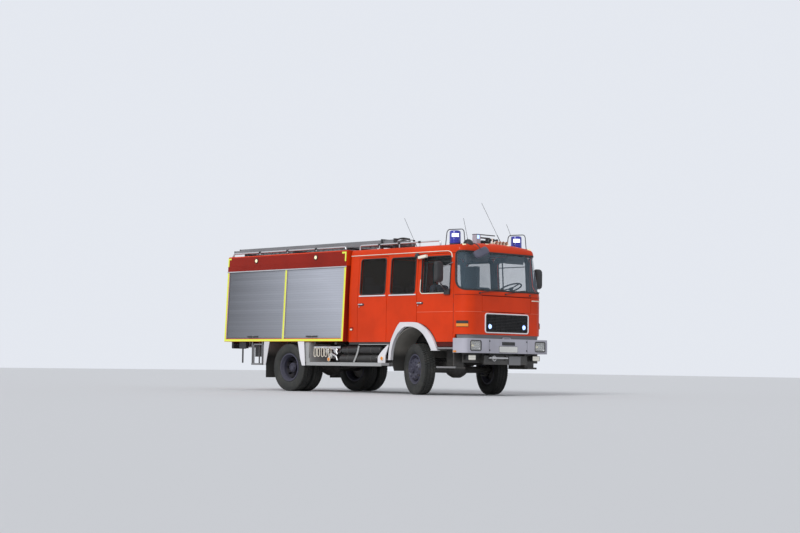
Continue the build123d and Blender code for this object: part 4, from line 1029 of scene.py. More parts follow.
def make_curtains():
    """The roller shutters: each slat bulges by 1.6 mm * sin(pi * share)**0.6 of its height."""
    z = np.arange(1.112, 2.578, SLAT_PITCH / 10)
    share = ((z - SLAT_FOOT) / SLAT_PITCH) % 1
    bulge = 0.0016 * np.sin(math.pi * share) ** 0.6
    bar_y = -body_side(1.152)
    curtains = []
    for rear, front in ((-5.858, -3.952), (-3.888, -2.08)):
        y = -body_side(z) + 0.012 - bulge
        curtains.append(closed_strip([
            np.stack((np.full_like(z, ahead(x)), y + inset, z), 1)
            for x, inset in ((rear, 0.014), (rear, 0.0), (front, 0.0), (front, 0.014))
        ]))
        curtains.append(box((ahead(rear) + 0.01, ahead(front) - 0.01), (bar_y - 0.001, bar_y + 0.01),
            (1.138, 1.168)))
    x = ahead(BODY_REAR) + 0.012 - bulge
    back = closed_strip([
        np.stack((x + inset, np.full_like(z, y), z), 1)
        for y, inset in ((-0.8, 0.016), (-0.8, 0.0), (0.8, 0.0), (0.8, 0.016))
    ])
    piece("shutter_curtains", total(curtains).both() + back, "slats", sharp=20, replaces=["shutters"])


def lozenges(x_span, y_span, z, pitch, length=0.024, width=0.008, height=0.0022):
    """Raised lozenges of tread plate: low four-sided pyramids, alternate ones turned by a right angle."""
    corner = np.array([(-length, 0, 0), (0, -width, 0), (length, 0, 0), (0, width, 0), (0, 0, height)]) / (
        2, 2, 1)
    one = Shape(corner, [(0, 1, 4), (1, 2, 4), (2, 3, 4), (3, 0, 4)])
    rows = np.arange(x_span[0] + pitch / 2, x_span[1] - pitch / 4, pitch)
    columns = np.arange(y_span[0] + pitch / 2, y_span[1] - pitch / 4, pitch)
    across, along = np.meshgrid(columns, rows)
    places = np.stack((along.ravel(), across.ravel(), np.full(along.size, z)), 1)
    odd = (np.add.outer(np.arange(len(rows)), np.arange(len(columns))) % 2).ravel() > 0
    slanted = one.turned((0, 0, 1), math.pi / 4)
    crossed = one.turned((0, 0, 1), -math.pi / 4)
    return slanted.copies(places[odd]) + crossed.copies(places[~odd])


# Cab
WINDOWS = {
    "front": ((0.11, 0.89), (1.99, 2.69)),
    "middle": ((-0.755, -0.068), (1.99, 2.7)),
    "rear": ((-1.64, -0.915), (1.995, 2.705)),
}


def window_line(name, grow, proud):
    """The closed path round a side window, on the leaning side, grown by grow and proud of it."""
    (rear, front), (low, high) = WINDOWS[name]
    width, height = front - rear + 2 * grow, high - low + 2 * grow
    outline = rounded(width, height, 0.055 + grow, 8)
    x = ahead((rear + front) / 2) + outline[:, 0]
    z = (low + high) / 2 + outline[:, 1]
    return np.stack((x, -cab_side(z) - proud, z), 1)


SCREEN_LOW, SCREEN_HIGH, SCREEN_EDGE = 2.035, 2.78, 0.958
FRAME_LOW, FRAME_HIGH = 1.97, 2.822
SCREEN_TOP_CORNER, SCREEN_FOOT_CORNER = (0.115, 0.08), (0.15, 0.19)
ROOF_CROWN, CROWN_FALL, CROWN_HALF = 2.97, 0.063, 1.071
LOCKER = (-0.724, -0.39)
WINDOW_OUTWARD = (0, -1, 0.06)


def screen_line():
    """The windscreen's outline in u and z, with elliptic corners that are large below and small above."""
    turn = np.linspace(0, math.pi / 2, 10)
    arcs = []
    for quarter, (across, rise) in enumerate(((1, 1), (-1, 1), (-1, -1), (1, -1))):
        wide, tall = SCREEN_TOP_CORNER if rise > 0 else SCREEN_FOOT_CORNER
        edge = SCREEN_HIGH - tall if rise > 0 else SCREEN_LOW + tall
        angle = turn + quarter * math.pi / 2
        arcs.append(np.stack((across * (SCREEN_EDGE - wide) + wide * np.cos(angle),
            edge + tall * np.sin(angle)), 1))
    return resampled(np.vstack(arcs), 260)


def frame_line(inner):
    """The frame's outer edge, where rays from a core inside the screen's outline leave the frame."""
    wide, tall = SCREEN_FOOT_CORNER
    top = SCREEN_HIGH - SCREEN_TOP_CORNER[1]
    core = np.clip(inner, (wide - SCREEN_EDGE, SCREEN_LOW + tall), (SCREEN_EDGE - wide, top))
    away = inner - core
    goal = np.where(away > 0, (1.0, FRAME_HIGH), (-1.0, FRAME_LOW))
    reach = np.where(np.abs(away) > 1e-6, (goal - core) / np.where(np.abs(away) > 1e-6, away, 1.0), 1e9)
    outer = core + away * reach.min(1, keepdims=True)
    for corner in ((-1.0, FRAME_LOW), (1.0, FRAME_LOW), (1.0, FRAME_HIGH), (-1.0, FRAME_HIGH)):
        outer[np.linalg.norm(outer - corner, axis=1).argmin()] = corner
    return outer


def roof_skin():
    """The cab's roof: its outline at the drip rolls over elliptically into a crown.

    The crown's height is ROOF_CROWN less CROWN_FALL * (y / CROWN_HALF)**2.
    """
    u = np.concatenate((np.linspace(-1, -0.68, 24, endpoint=False), np.linspace(-0.68, 0.68, 40),
        np.linspace(0.68, 1, 25)[1:]))
    front = np.clip((1 - np.abs(u)) / 0.32, 0, 1)
    front = front**2 * (3 - 2 * front)
    side_x = np.linspace(FRONT_PANEL_REAR, CAB_REAR, 24)[1:]
    rows = []
    for turn in np.linspace(0, math.pi / 2, 10):
        nose = front_skin(u, DRIP_Z, (1 - math.cos(turn)) * (0.05 + 0.07 * front) - 0.002)
        nose[:, 2] = DRIP_Z - 0.004 + 0.03 * front
        inner = cab_side(DRIP_Z) + 0.002 - 0.05 * (1 - math.cos(turn))
        left = np.stack((ahead(side_x), np.full(23, inner), np.full(23, DRIP_Z - 0.004)), 1)
        row = np.vstack((nose, left, left[::-1] * (1, -1, 1)))
        crown = ROOF_CROWN - CROWN_FALL * (row[:, 1] / CROWN_HALF) ** 2
        row[:, 2] += (crown - row[:, 2]) * math.sin(turn)
        rows.append(row)
    rim = rows[-1]
    for share in (0.85, 0.6, 0.3, 0.0):
        row = rim * (1, share, 1)
        row[:, 2] = ROOF_CROWN - CROWN_FALL * (row[:, 1] / CROWN_HALF) ** 2
        rows.append(row)
    return grid(np.stack(rows), wrap_columns=True)


def make_screen():
    """The wrapped windscreen with its frame, seal and header, and the brow over it."""
    inner = screen_line()
    outer = frame_line(inner)
    for name, finish, insets in (("screen_frame", "red", (0.0, 0.0, 0.034, 0.04)),
            ("screen_frame_lining", "lining", (0.046, 0.038, 0.046, 0.052))):
        rows = [front_skin(*line.T, inset) for line, inset in zip((outer, inner, inner, outer), insets)]
        piece(name, grid(np.stack(rows), True, True), finish, sharp=40)
    u = np.linspace(-0.985, 0.985, 120)
    rows = [front_skin(u, z, 0.01) for z in np.linspace(2.01, 2.808, 9)]
    rows += [front_skin(u, z, 0.016) for z in np.linspace(2.808, 2.01, 9)]
    piece("windscreen_glass", closed_strip(rows), "screen", sharp=50, replaces=["windscreen"])
    normal = unit(front_skin(*inner.T, -0.03) - front_skin(*inner.T))
    path = front_skin(*inner.T, 0.002)
    piece("windscreen_seal", sweep(rounded(0.034, 0.018, 0.006, 3), path, normal, True), "seal")
    edge = front_skin(np.linspace(-0.99, 0.99, 80), 2.76, 0.03)
    levels = ((0, 2.786), (0, 2.812), (-0.3, 2.812), (-0.3, 2.8))
    piece("screen_header", closed_strip([edge * (1, 1, 0) + (shift, 0, z) for shift, z in levels]),
        "lining")
    piece("cab_roof_skin", roof_skin(), "red", sharp=50, replaces=["cab_roof"])


def window_seal(name):
    """The rubber seal in a side window's edge."""
    return sweep(rounded(0.02 if name == "middle" else 0.022, 0.03, 0.008, 3),
        window_line(name, 0.003, 0.0), WINDOW_OUTWARD, True)


def window_lining(name):
    """The lining round a side window, inside."""
    return sweep(rounded(0.11, 0.008, 0.003, 3), window_line(name, 0.045, -0.05), WINDOW_OUTWARD, True)


def window_ledge(x_span):
    """The bright ledge under a side window."""
    return side_panel(x_span, (1.95, 1.974), 0.014, cab_side)


def make_cab():
    """The cab's painted panels, glass, seals, rain rail and seams."""
    for node in ("cab_rear_wall", "cab_sides", "front_flap"):
        dressed(node, "red", 0.0035)
    dressed("cab_front", "red", 0.0035, top=FRAME_LOW + 0.001)
    dressed("side_glass", "dim_window", 0.001)
    make_screen()
    piece("side_window_seals", window_seal("middle").both(), "seal")
    piece("side_window_linings", window_lining("middle").both(), "lining")
    ledge = window_ledge((ahead(-0.79), ahead(-0.03)))
    piece("side_window_ledges", ledge.both(), "trim", bevel=0.003)

    # The rain rails are cream: a painted highlight along the drip line.
    corners = [(-1.955, 2.79), (0.0, 2.79), (0.7, 2.79), (0.835, 2.778), (0.895, 2.735), (0.915, 2.66)]
    line = curve([(ahead(x), z) for x, z in corners], 60)
    path = np.column_stack((line[:, 0], -cab_side(line[:, 1]) - 0.004, line[:, 1]))
    piece("rain_rails", sweep(rounded(0.022, 0.014, 0.005, 3), path, UP).both(), "cream")
    # The front crease is a bead in lighter red: a painted highlight along it.
    crease = sweep(rounded(0.01, 0.01, 0.004, 3), front_skin(np.linspace(-0.96, -0.42, 60), 1.615), UP)
    piece("front_crease", crease.both(), "crease")
    u = np.linspace(-0.95, 0.95, 120)
    levels = ((1.085, 0.04), (1.186, 0.022), (1.186, 0.03), (1.085, 0.048))
    piece("front_valance", closed_strip([front_skin(u, z, inset) for z, inset in levels]), "grey")
    lip = sweep(rounded(0.012, 0.01, 0.004, 3), front_skin(np.linspace(-0.97, 0.97, 160), 1.938, 0.001), UP)
    piece("screen_foot_seam", lip, "band")
    bar = [(0.0, 0.73), (0.045, 0.738), (0.045, 0.925), (0.0, 0.933)]
    grab = curve([(cab_front(y, 1.87) - 0.006 + away, y, 1.87) for away, y in bar], 28)
    piece("grab_bar", tube(grab, 0.01, 10), "cream")

    # A small flush lock: its cream face is a painted highlight, and the dark red plate round it is painted
    # shade.
    lock = side_strip(plate_outline(ahead(-1.886), 1.288, 0.06, 0.03, 0.01), 0.01, cab_side)
    rest = side_strip(plate_outline(ahead(-1.88), 1.3, 0.11, 0.07, 0.014), 0.003, cab_side)
    piece("side_locks", lock.both(), "cream", bevel=0.002)
    piece("side_lock_plates", rest.both(), "band", bevel=0.001)
    seam = block((0.996, 1.002), (-CAB_HALF - 0.001, -CAB_HALF + 0.004), (1.2, 1.95))
    piece("corner_seams", seam.both(), "seal")
    piece("rear_wall_lining", block((-1.915, -1.905), (-1.03, 1.03), (1.1, 2.78)), "lining")


def resampled(outline, count):
    """A closed outline with its points spread evenly along its length."""
    outline = np.asarray(outline, float)
    ring = np.vstack((outline, outline[:1]))
    length = np.concatenate(([0], np.cumsum(np.linalg.norm(np.diff(ring, axis=0), axis=1))))
    place = np.linspace(0, length[-1], count, endpoint=False)
    return np.column_stack([np.interp(place, length, ring[:, axis]) for axis in range(ring.shape[1])])


def door_handle(x, z):
    """A bow handle on its plate, with the key's barrel beside it."""
    y = -cab_side(z)
    back = side_strip(plate_outline(x, z, 0.165, 0.046, 0.016), 0.006, cab_side)
    bow = [(x + along, y - away, z + 0.004) for along, away in ((-0.062, 0.004), (-0.056, 0.032),
        (0.05, 0.036), (0.06, 0.004))]
    bar = sweep(rounded(0.01, 0.022, 0.004, 3), curve(bow, 22), UP)
    key = lathe([(0, 0), (0, 0.011), (0.012, 0.01), (0.013, 0)], (x - 0.05, y - 0.004, z - 0.045),
        RIGHTWARD, 20)
    return back, bar + key


def plate_outline(x, z, width, height, radius):
    """A rounded plate's XZ outline about a place."""
    return rounded(width, height, radius, 5) + (x, z)


def make_window_trim(side, body, rear, front, low):
    """A front door's window trim, the post of its quarter light and the bar across it. The trim is a ridge
    in cream: a painted highlight under the window and up its rear edge.
    """
    trim = bent([(rear - 0.016, low + 0.26), (rear - 0.016, low - 0.016), (front - 0.04, low - 0.016)],
        0.07, 8)
    trim = np.column_stack((trim[:, 0], -cab_side(trim[:, 1]) - 0.01, trim[:, 1]))
    # The trim's cream is a painted highlight on the ridge.
    piece(f"{body}_window_trim_painted_highlight", sweep(rounded(0.016, 0.012, 0.004, 3), trim, RIGHTWARD).on(side), "cream",
        body)
    z = np.linspace(2.0, 2.685, 6)
    path = np.column_stack((np.full(6, ahead(0.235)), -cab_side(z) + 0.012, z))
    post = sweep(rounded(0.022, 0.022, 0.006, 3), path, RIGHTWARD)
    bar = side_panel((rear + 0.01, front - 0.01), (2.575, 2.592), 0.008, lambda z: cab_side(z) - 0.03)
    piece(f"{body}_window_bars", (bar + post).on(side), "seal", body)


def make_door_lamp(body):
    """The lamp on a ball joint above the right front door."""
    lamp = block((0.105, 0.325), (-1.235, -1.165), (2.655, 2.715)).turned(LEFTWARD, -0.12,
        (ahead(0.2), 0, 2.68))
    ball = [(-0.055, 0.0), (-0.05, 0.024), (-0.03, 0.045), (0, 0.055), (0.03, 0.045), (0.055, 0.0)]
    piece("door_lamp_case", lamp, "cream", body, 0.012)
    piece("door_lamp_joint", lathe(ball, (ahead(0.045), -1.18, 2.715), LEFTWARD, 28), "plastic", body)


def make_doors():
    """Each door with its window's seal, lining, handle and hinges, and what only its end has."""
    for side, word in SIDES:
        for end, handle_x, hinge_x in (("front", 0.09, 0.99), ("rear", -1.6, -0.865)):
            body = f"{end}_{word}_door"
            dressed(body, "red", 0.0035)
            dressed(f"{end}_{word}_glass", "window" if end == "front" else "dim_window", 0.001)
            piece(f"{body}_seal", window_seal(end).on(side), "seal", body)
            (rear, front), (low, _) = WINDOWS[end]
            rear, front = ahead(rear), ahead(front)
            card = side_panel((rear - 0.03, front + 0.03), (1.44, low - 0.02), 0.006,
                lambda z: cab_side(z) - 0.058)
            piece(f"{body}_lining", (window_lining(end) + card).on(side), "lining", body)
            if end == "front":
                make_window_trim(side, body, rear, front, low)
            back, bow = door_handle(ahead(handle_x), 1.79)
            piece(f"{body}_handle_plate", back.on(side), "plastic", body, 0.0015)
            piece(f"{body}_handle", bow.on(side), "steel", body)
            if end == "rear":
                piece(f"{body}_window_ledge", window_ledge((rear - 0.02, front + 0.02)).on(side), "trim",
                    body, 0.003)
            hinges = total(
                solid([(-0.05, 0.01), (0.05, 0.01)],
                      (ahead(hinge_x) + 0.002, -CAB_HALF - 0.004, z), UP, 16)
                for z in (1.25, 1.82)
            )
            piece(f"{body}_hinges", hinges.on(side), "red", body, 0.001)
            if end == "front":
                # The door's crease strip in lighter red: a painted highlight along it.
                strip = side_panel((ahead(0.012), ahead(0.978)), (1.61, 1.62), 0.004, cab_side)
                piece(f"{body}_crease", strip.on(side), "crease", body, 0.0015)
            if body == "front_right_door":
                make_door_lamp(body)


# Front
def make_grille():
    """The grille's frame, slats and backing, and the two flashing lamps behind it."""
    half, low, high = 0.618, 1.222, 1.586
    x = cab_front(0.6, 1.4) + 0.004
    outline = resampled(rounded(2 * half, high - low, 0.045, 8), 160) + (0, (low + high) / 2)
    rim = sweep(rounded(0.024, 0.026, 0.008, 3), np.column_stack((np.full(160, x), outline)), FORWARD, True)
    piece("grille_frame", rim, "trim", replaces=["grille"])
    slats = [box((x - 0.03, x + 0.002), (-half + 0.012, half - 0.012),
        (z - 0.004, z + 0.004)).turned(LEFTWARD, 0.35, (x, 0, z))
        for z in np.linspace(low + 0.036, high - 0.036, 11)]
    slats += [
        box((x - 0.03, x - 0.012), (y - 0.004, y + 0.004), (low + 0.012, high - 0.012))
        for y in np.linspace(-half + 0.02, half - 0.02, 9)
    ]
    piece("grille_slats", total(slats), "plastic", bevel=0.001)
    piece("grille_backing", plate(outline, x - 0.034, x - 0.028, "X"), "seal")
    cup = [(0, 0), (0, 0.062), (0.03, 0.06), (0.034, 0.05), (0.012, 0.046), (0.012, 0)]
    flash = [(0.012, 0), (0.012, 0.046), (0.036, 0.04), (0.046, 0.022), (0.048, 0)]
    for name, profile, finish in (("front_flash_cups", cup, "plastic"),
            ("front_flash_lamps", flash, "blue_light")):
        piece(name, total(lathe(profile, (x - 0.024, y, 1.34), FORWARD, 40) for y in (-0.49, 0.49)), finish)


def make_corner_lamps():
    """The lamps that wrap round the cab's corners: blocks that follow its skin, proud of it."""
    u = np.linspace(-0.938, -0.796, 18)
    made = []
    for low, high, proud in ((1.318, 1.44, 0.01), (1.388, 1.432, 0.015), (1.326, 1.384, 0.018)):
        levels = ((low, -0.01), (low, proud - 0.004), (low + 0.004, proud), (high - 0.004, proud),
            (high, proud - 0.004), (high, -0.01))
        made.append(closed_strip([front_skin(u, z, -lift) for z, lift in levels]))
    piece("corner_lamp_cases", (made[0] + made[1]).both(), "plastic")
    piece("corner_lamps", made[2].both(), "amber")


def make_wipers():
    """Three wipers: an arm from its pivot to its tip, and a blade that lies on the screen."""
    wipers = []
    for y in (-0.78, -0.06, 0.66):
        pivot = np.array((cab_front(y, 1.985) + 0.012, y, 1.975))
        tip = np.array((cab_front(y + 0.52, 2.062) + 0.03, min(y + 0.52, 0.98), 2.062))
        wipers.append(tube(np.linspace(pivot, tip, 6), 0.006, 8))
        wipers.append(lathe([(-0.01, 0), (-0.01, 0.016), (0.02, 0.014), (0.026, 0)], pivot, (1, 0, 0.2),
            20))
        middle = (pivot + tip) / 2 + np.array((0.006, 0.14, 0.028))
        blade = np.linspace(middle + (0, -0.3, -0.022), middle + (0, 0.26, 0.02), 12)
        blade[:, 0] = cab_front(blade[:, 1], blade[:, 2]) + 0.02
        wipers.append(sweep(rounded(0.01, 0.016, 0.003, 3), blade, UP))
    piece("wipers", total(wipers), "plastic")


def make_front():
    """Grille, lamps, wipers and the mirror over the windscreen."""
    make_grille()
    make_corner_lamps()
    make_wipers()
    arm = curve([(ahead(x), y, z) for x, y, z in (
        (1.06, -0.8, 2.905), (1.18, -0.8, 2.935), (1.28, -0.79, 2.9), (1.345, -0.775, 2.83))], 20)
    piece("kerb_mirror_arm", tube(arm, 0.01, 10), "plastic", replaces=["kerb_mirror"])
    case = shell_case(rounded(0.376, 0.165, 0.06, 6), 0.07)
    face = plate(rounded(0.33, 0.13, 0.045, 6), -0.0365, -0.034, "X")
    for shape, name, finish in ((case, "kerb_mirror_case", "dark_grey"),
            (face, "kerb_mirror_glass", "mirror")):
        tilted = shape.turned(LEFTWARD, -0.5).turned(FORWARD, 0.36)
        piece(name, tilted.moved(ahead(1.31), -0.69, 2.765), finish, bevel=0.001)


def shell_case(outline, depth):
    """A mirror's case about the origin, facing -X: the outline shrinks towards a domed back."""
    levels = ((0.9, -0.5), (1.0, -0.44), (1.0, -0.1), (0.93, 0.22), (0.75, 0.42), (0.4, 0.5))
    return layered(outline, (0, 0, 0), [(share, along * depth) for share, along in levels], True)


def make_front_lamps(x):
    """Headlamps with bowl, bulb and glass in their frames, and the fog lamps under them."""
    outline = resampled(rounded(0.296, 0.192, 0.034, 7), 96)
    fog = resampled(rounded(0.224, 0.1, 0.016, 5), 64)
    bowl = ((0.97, 0.0), (0.9, -0.03), (0.62, -0.075), (0.25, -0.095))
    bulb = [(-0.096, 0), (-0.096, 0.02), (-0.06, 0.019), (-0.052, 0)]
    cover = ((0.98, -0.006), (0.98, 0.002), (0.9, 0.008), (0.6, 0.0115), (0.25, 0.0125))
    case = ((1.0, -0.07), (1.0, 0.0), (0.94, 0.006), (0.93, 0.0), (0.9, -0.03))
    fog_lens = ((0.93, -0.01), (0.93, -0.002), (0.8, 0.002), (0.4, 0.004))
    parts = [[], [], [], [], [], []]
    for side in (-1, 1):
        place, fog_place = (x, side * 0.928, 0.968), (ahead(1.3), side * 0.925, 0.737)
        path = np.column_stack((np.full(96, x + 0.002), outline + place[1:]))
        parts[0].append(sweep(rounded(0.016, 0.02, 0.005, 3), path, FORWARD, True))
        parts[1].append(layered(outline, place, bowl))
        parts[2].append(lathe(bulb, place, FORWARD, 24))
        parts[3].append(layered(outline, place, [(share, along - 0.008) for share, along in cover], True))
        parts[4].append(layered(fog, fog_place, case, True))
        parts[5].append(layered(fog, fog_place, fog_lens, True))
    names = ("headlamp_frames", "headlamp_bowls", "headlamp_bulbs", "headlamp_glass", "fog_lamp_cases",
        "fog_lamps")
    for name, finish, shapes in zip(names, ("plastic", "steel", "warm", "clear", "plastic", "warm_clear"),
            parts):
        piece(name, total(shapes), finish, replaces=["front_lamps"] if name == "headlamp_frames" else ())


def make_bumper():
    """The bumper with its lamps, bolts, seams, panels, blank plate, socket cover and towing pin."""
    dressed("bumper", "silver", 0.004)
    dressed("bumper_apron", "chassis", 0.003)
    x = ahead(1.395)
    make_front_lamps(x)
    bolt = [(-0.004, 0.016), (0.003, 0.016), (0.003, 0.011), (0.006, 0.01)]
    bolts = total(solid(bolt, (x, y, z), FORWARD, 18) for y in (-0.535, 0.535) for z in (0.883, 1.058))
    piece("bumper_bolts", bolts, "seal", sharp=25)
    seams = [box((x - 0.001, x + 0.0012), (y - 0.002, y + 0.002), (0.829, 1.1)) for y in (-0.548, 0.548)]
    piece("bumper_seams", total(seams), "seal")
    raised = []
    for y in (-0.865, 0.865):
        outline = rounded(0.56, 0.236, 0.03, 5)
        hole = resampled(rounded(0.31, 0.206, 0.036, 7), len(outline)) + (np.sign(y) * 0.063, 0)
        raised.append(ring_plate(resampled(outline, 96), resampled(hole, 96), (y, 0.966), x, 0.004))
    piece("headlamp_panels", total(raised), "silver", bevel=0.0015)

    piece("number_plate_blank", plate(rounded(0.52, 0.112, 0.01, 4) + (0, 0.902), x + 0.002, x + 0.005,
        "X"), "plate", bevel=0.001)
    surround = plate(rounded(0.532, 0.124, 0.012, 4) + (0, 0.902), x, x + 0.003, "X")
    socket = plate(rounded(0.37, 0.066, 0.008, 4) + (0, 1.014), x, x + 0.006, "X")
    latch = solid([(0.0, 0.014), (0.005, 0.012)], (x + 0.002, 0.0, 1.014), FORWARD, 20)
    piece("socket_cover", surround + socket + latch, "plastic", bevel=0.002)
    bow = curve([(x - 0.05, y, z) for y, z in ((-0.1, 1.103), (-0.09, 1.122), (0.09, 1.122), (0.1, 1.103))],
        24)
    piece("bumper_top_bar", sweep(circle(0.01, 10), bow, FORWARD), "silver")
    outline = plate_outline(ahead(1.125), 0.852, 0.07, 0.034, 0.006)
    markers = total(plate(outline, side * 1.2175, side * 1.232, "Y") for side in (-1, 1))
    piece("bumper_markers", markers, "amber", bevel=0.002)
    make_towing_pin()


def make_towing_pin():
    """The towing jaw under the bumper: its pin lies across, with a ring handle."""
    x = ahead(1.345)
    pin = solid([(-0.27, 0.016), (-0.255, 0.02), (0.24, 0.02), (0.27, 0.012)], (x, -0.23, 0.735), LEFTWARD,
        24)
    ring = np.column_stack((np.full(28, x + 0.012), circle(0.048, 28) + (-0.36, 0.725)))
    collar = lathe([(-0.03, 0.02), (-0.03, 0.034), (0.03, 0.034), (0.03, 0.02)], (x, -0.4, 0.735), LEFTWARD,
        24, True)
    piece("towing_pin", pin + tube(ring, 0.007, 8, True) + collar, "steel")
    piece("towing_panel", box((x - 0.01, x - 0.004), (0.08, 0.42), (0.6, 0.77)), "grey", bevel=0.004)
    cheeks = total(block((1.29, 1.362), (y - 0.01, y + 0.01), (0.69, 0.785)) for y in (-0.44, -0.02))
    piece("towing_jaw", cheeks, "chassis", bevel=0.004)


def ring_plate(outer, inner, centre, x, thickness):
    """A flat plate on the front with a hole: four rings of points, joined all round."""
    rings = [np.column_stack((np.full(len(outline), level), outline + centre))
        for outline, level in ((outer, x - 0.001), (outer, x + thickness), (inner, x + thickness),
        (inner, x - 0.001))]
    return grid(np.stack(rings), wrap_rows=True, wrap_columns=True)


# Chassis and the things hung from it
def treads(x_span, y_span, z, side):
    """Tread plate's lozenges on one side's step or board, between two distances from the middle."""
    return lozenges((ahead(x_span[0]), ahead(x_span[1])), y_span, z, 0.052).on(-side)


def strap_ring(x, y, z, radius):
    """A flat strap round a lying tank."""
    half_width = 0.018
    profile = [(-half_width, radius), (-half_width, radius + 0.003), (half_width, radius + 0.003),
        (half_width, radius)]
    return lathe(profile, (x, y, z), FORWARD, 40, True)


BOARD_TOP, BOARD_SPAN = 0.618, (-3.187, -0.9)
REAR_SKIRTS = (((-3.43, 1.044), (-3.229, 1.044), (-3.19, 0.543), (-3.285, 0.543), (-3.35, 0.7)),
    ((-4.54, 1.044), (-4.36, 1.044), (-4.478, 0.543), (-4.55, 0.543)))
BRACKET = ((-0.965, 0.85), (-0.8, 0.975), (-0.765, 0.975), (-0.86, 0.76), (-0.87, 0.585), (-1.08, 0.6),
    (-1.08, 0.74))
ARCH_OUTER = ([(-0.737, 0.672), (-0.722, 0.85), (-0.678, 1.035), (-0.6, 1.19), (-0.49, 1.35),
    (-0.414, 1.421)], [(-0.414, 1.421), (-0.029, 1.418), (0.132, 1.38), (0.304, 1.289), (0.421, 1.184),
    (0.513, 1.064), (0.616, 0.868)])
ARCH_INNER = ([(-0.666, 0.672), (-0.647, 0.85), (-0.594, 1.017), (-0.505, 1.165), (-0.385, 1.275),
    (-0.283, 1.331)], [(-0.283, 1.331), (-0.086, 1.329), (0.076, 1.283), (0.204, 1.21), (0.296, 1.121),
    (0.377, 1.016), (0.47, 0.868)])


def make_arch_trims():
    """The bright trims: two curves and their feet round each front arch, and the skirts at the rear."""
    outer, inner = (
        np.vstack((curve(leg, 26), curve(rest, 26)[1:]))
        for leg, rest in (ARCH_OUTER, ARCH_INNER)
    )
    trims = closed_strip([
        np.column_stack((ahead(line[:, 0]), np.full(len(line), y), line[:, 1]))
        for line, y in ((outer, -1.14), (outer, -1.192), (inner, -1.198), (inner, -1.12))
    ])
    feet = block((0.455, 0.64), (-1.205, -1.12), (0.862, 0.874))
    skirts = total(plate([(ahead(x), z) for x, z in outline], -1.249, -1.235, "Y")
        for outline in REAR_SKIRTS)
    piece("arch_trim_bands", (trims + feet + skirts).both(), "trim", bevel=0.003, sharp=40,
        replaces=["arch_trims"])


def make_boards():
    """Running boards with a folded face, their tips and bearers, and the steps."""
    board = block(BOARD_SPAN, (-1.222, -0.88), (0.6, BOARD_TOP)) + block(BOARD_SPAN, (-1.222, -1.2),
        (0.546, 0.606))
    tip = block((-0.898, -0.68), (-1.222, -0.9), (0.56, 0.612))
    bearers = total(box((ahead(x) - 0.02, ahead(x) + 0.02), (-1.19, -0.425), (0.56, 0.6))
        for x in (-2.9, -2.38, -1.0))
    piece("running_board_sheets", board.both(), "sheet", bevel=0.006, replaces=["running_boards"])
    piece("running_board_tips", (tip + bearers).both(), "dull", bevel=0.006)
    dressed("entry_steps", "chassis", 0.003)
    dressed("rear_steps", "dull", 0.003)


def make_tanks():
    """Air tanks with domed ends on the right, and the straps and cap of the fuel tank on the left."""
    dome = [(0.0, 0.0), (0.003, 0.03), (0.012, 0.056), (0.024, 0.073), (0.044, 0.0815)]
    shells, straps = [], []
    for rear, front, z in ((-2.215, -1.02, 0.872), (-2.27, -1.11, 0.7)):
        profile = dome + [(front - rear - along, away) for along, away in reversed(dome)]
        shells.append(lathe(profile, (ahead(rear), -1.06, z), FORWARD, 56))
        straps += [strap_ring(ahead(x), -1.06, z, 0.082) for x in (-2.0, -1.3)]
    hangers = total(box((ahead(x) - 0.025, ahead(x) + 0.025), (-1.0, -0.425), (0.7, 0.88))
        for x in (-2.0, -1.3))
    piece("air_tank_shells", total(shells), "tank", replaces=["air_tanks"])
    piece("air_tank_straps", total(straps), "chassis", bevel=0.001)
    piece("air_tank_hangers", hangers, "chassis", bevel=0.003)
    brace = curve([(ahead(x), -1.149, z) for x, z in ((-1.64, 0.955), (-1.69, 0.8), (-1.79, 0.62))], 12)
    piece("air_tank_brace", sweep(rounded(0.044, 0.006, 0.002, 3), brace, RIGHTWARD), "sheet")

    outer, inner = (rounded(*sizes, 8) + (0.855, 0.76) for sizes in ((0.594, 0.404, 0.062),
        (0.59, 0.4, 0.06)))
    straps = []
    for x in (-2.05, -1.3):
        rows = [np.column_stack((np.full(len(line), ahead(x) + shift), line))
            for line, shift in ((inner, -0.018), (outer, -0.018), (outer, 0.018), (inner, 0.018))]
        straps.append(grid(np.stack(rows), wrap_rows=True, wrap_columns=True))
    cap = [(0, 0.045), (0.03, 0.045), (0.034, 0.04), (0.04, 0.036), (0.04, 0)]
    piece("fuel_tank_straps", total(straps), "chassis", bevel=0.001)
    piece("fuel_filler_cap", lathe(cap, (ahead(-1.18), 0.98, 0.955), UP, 32), "plastic", bevel=0.002)


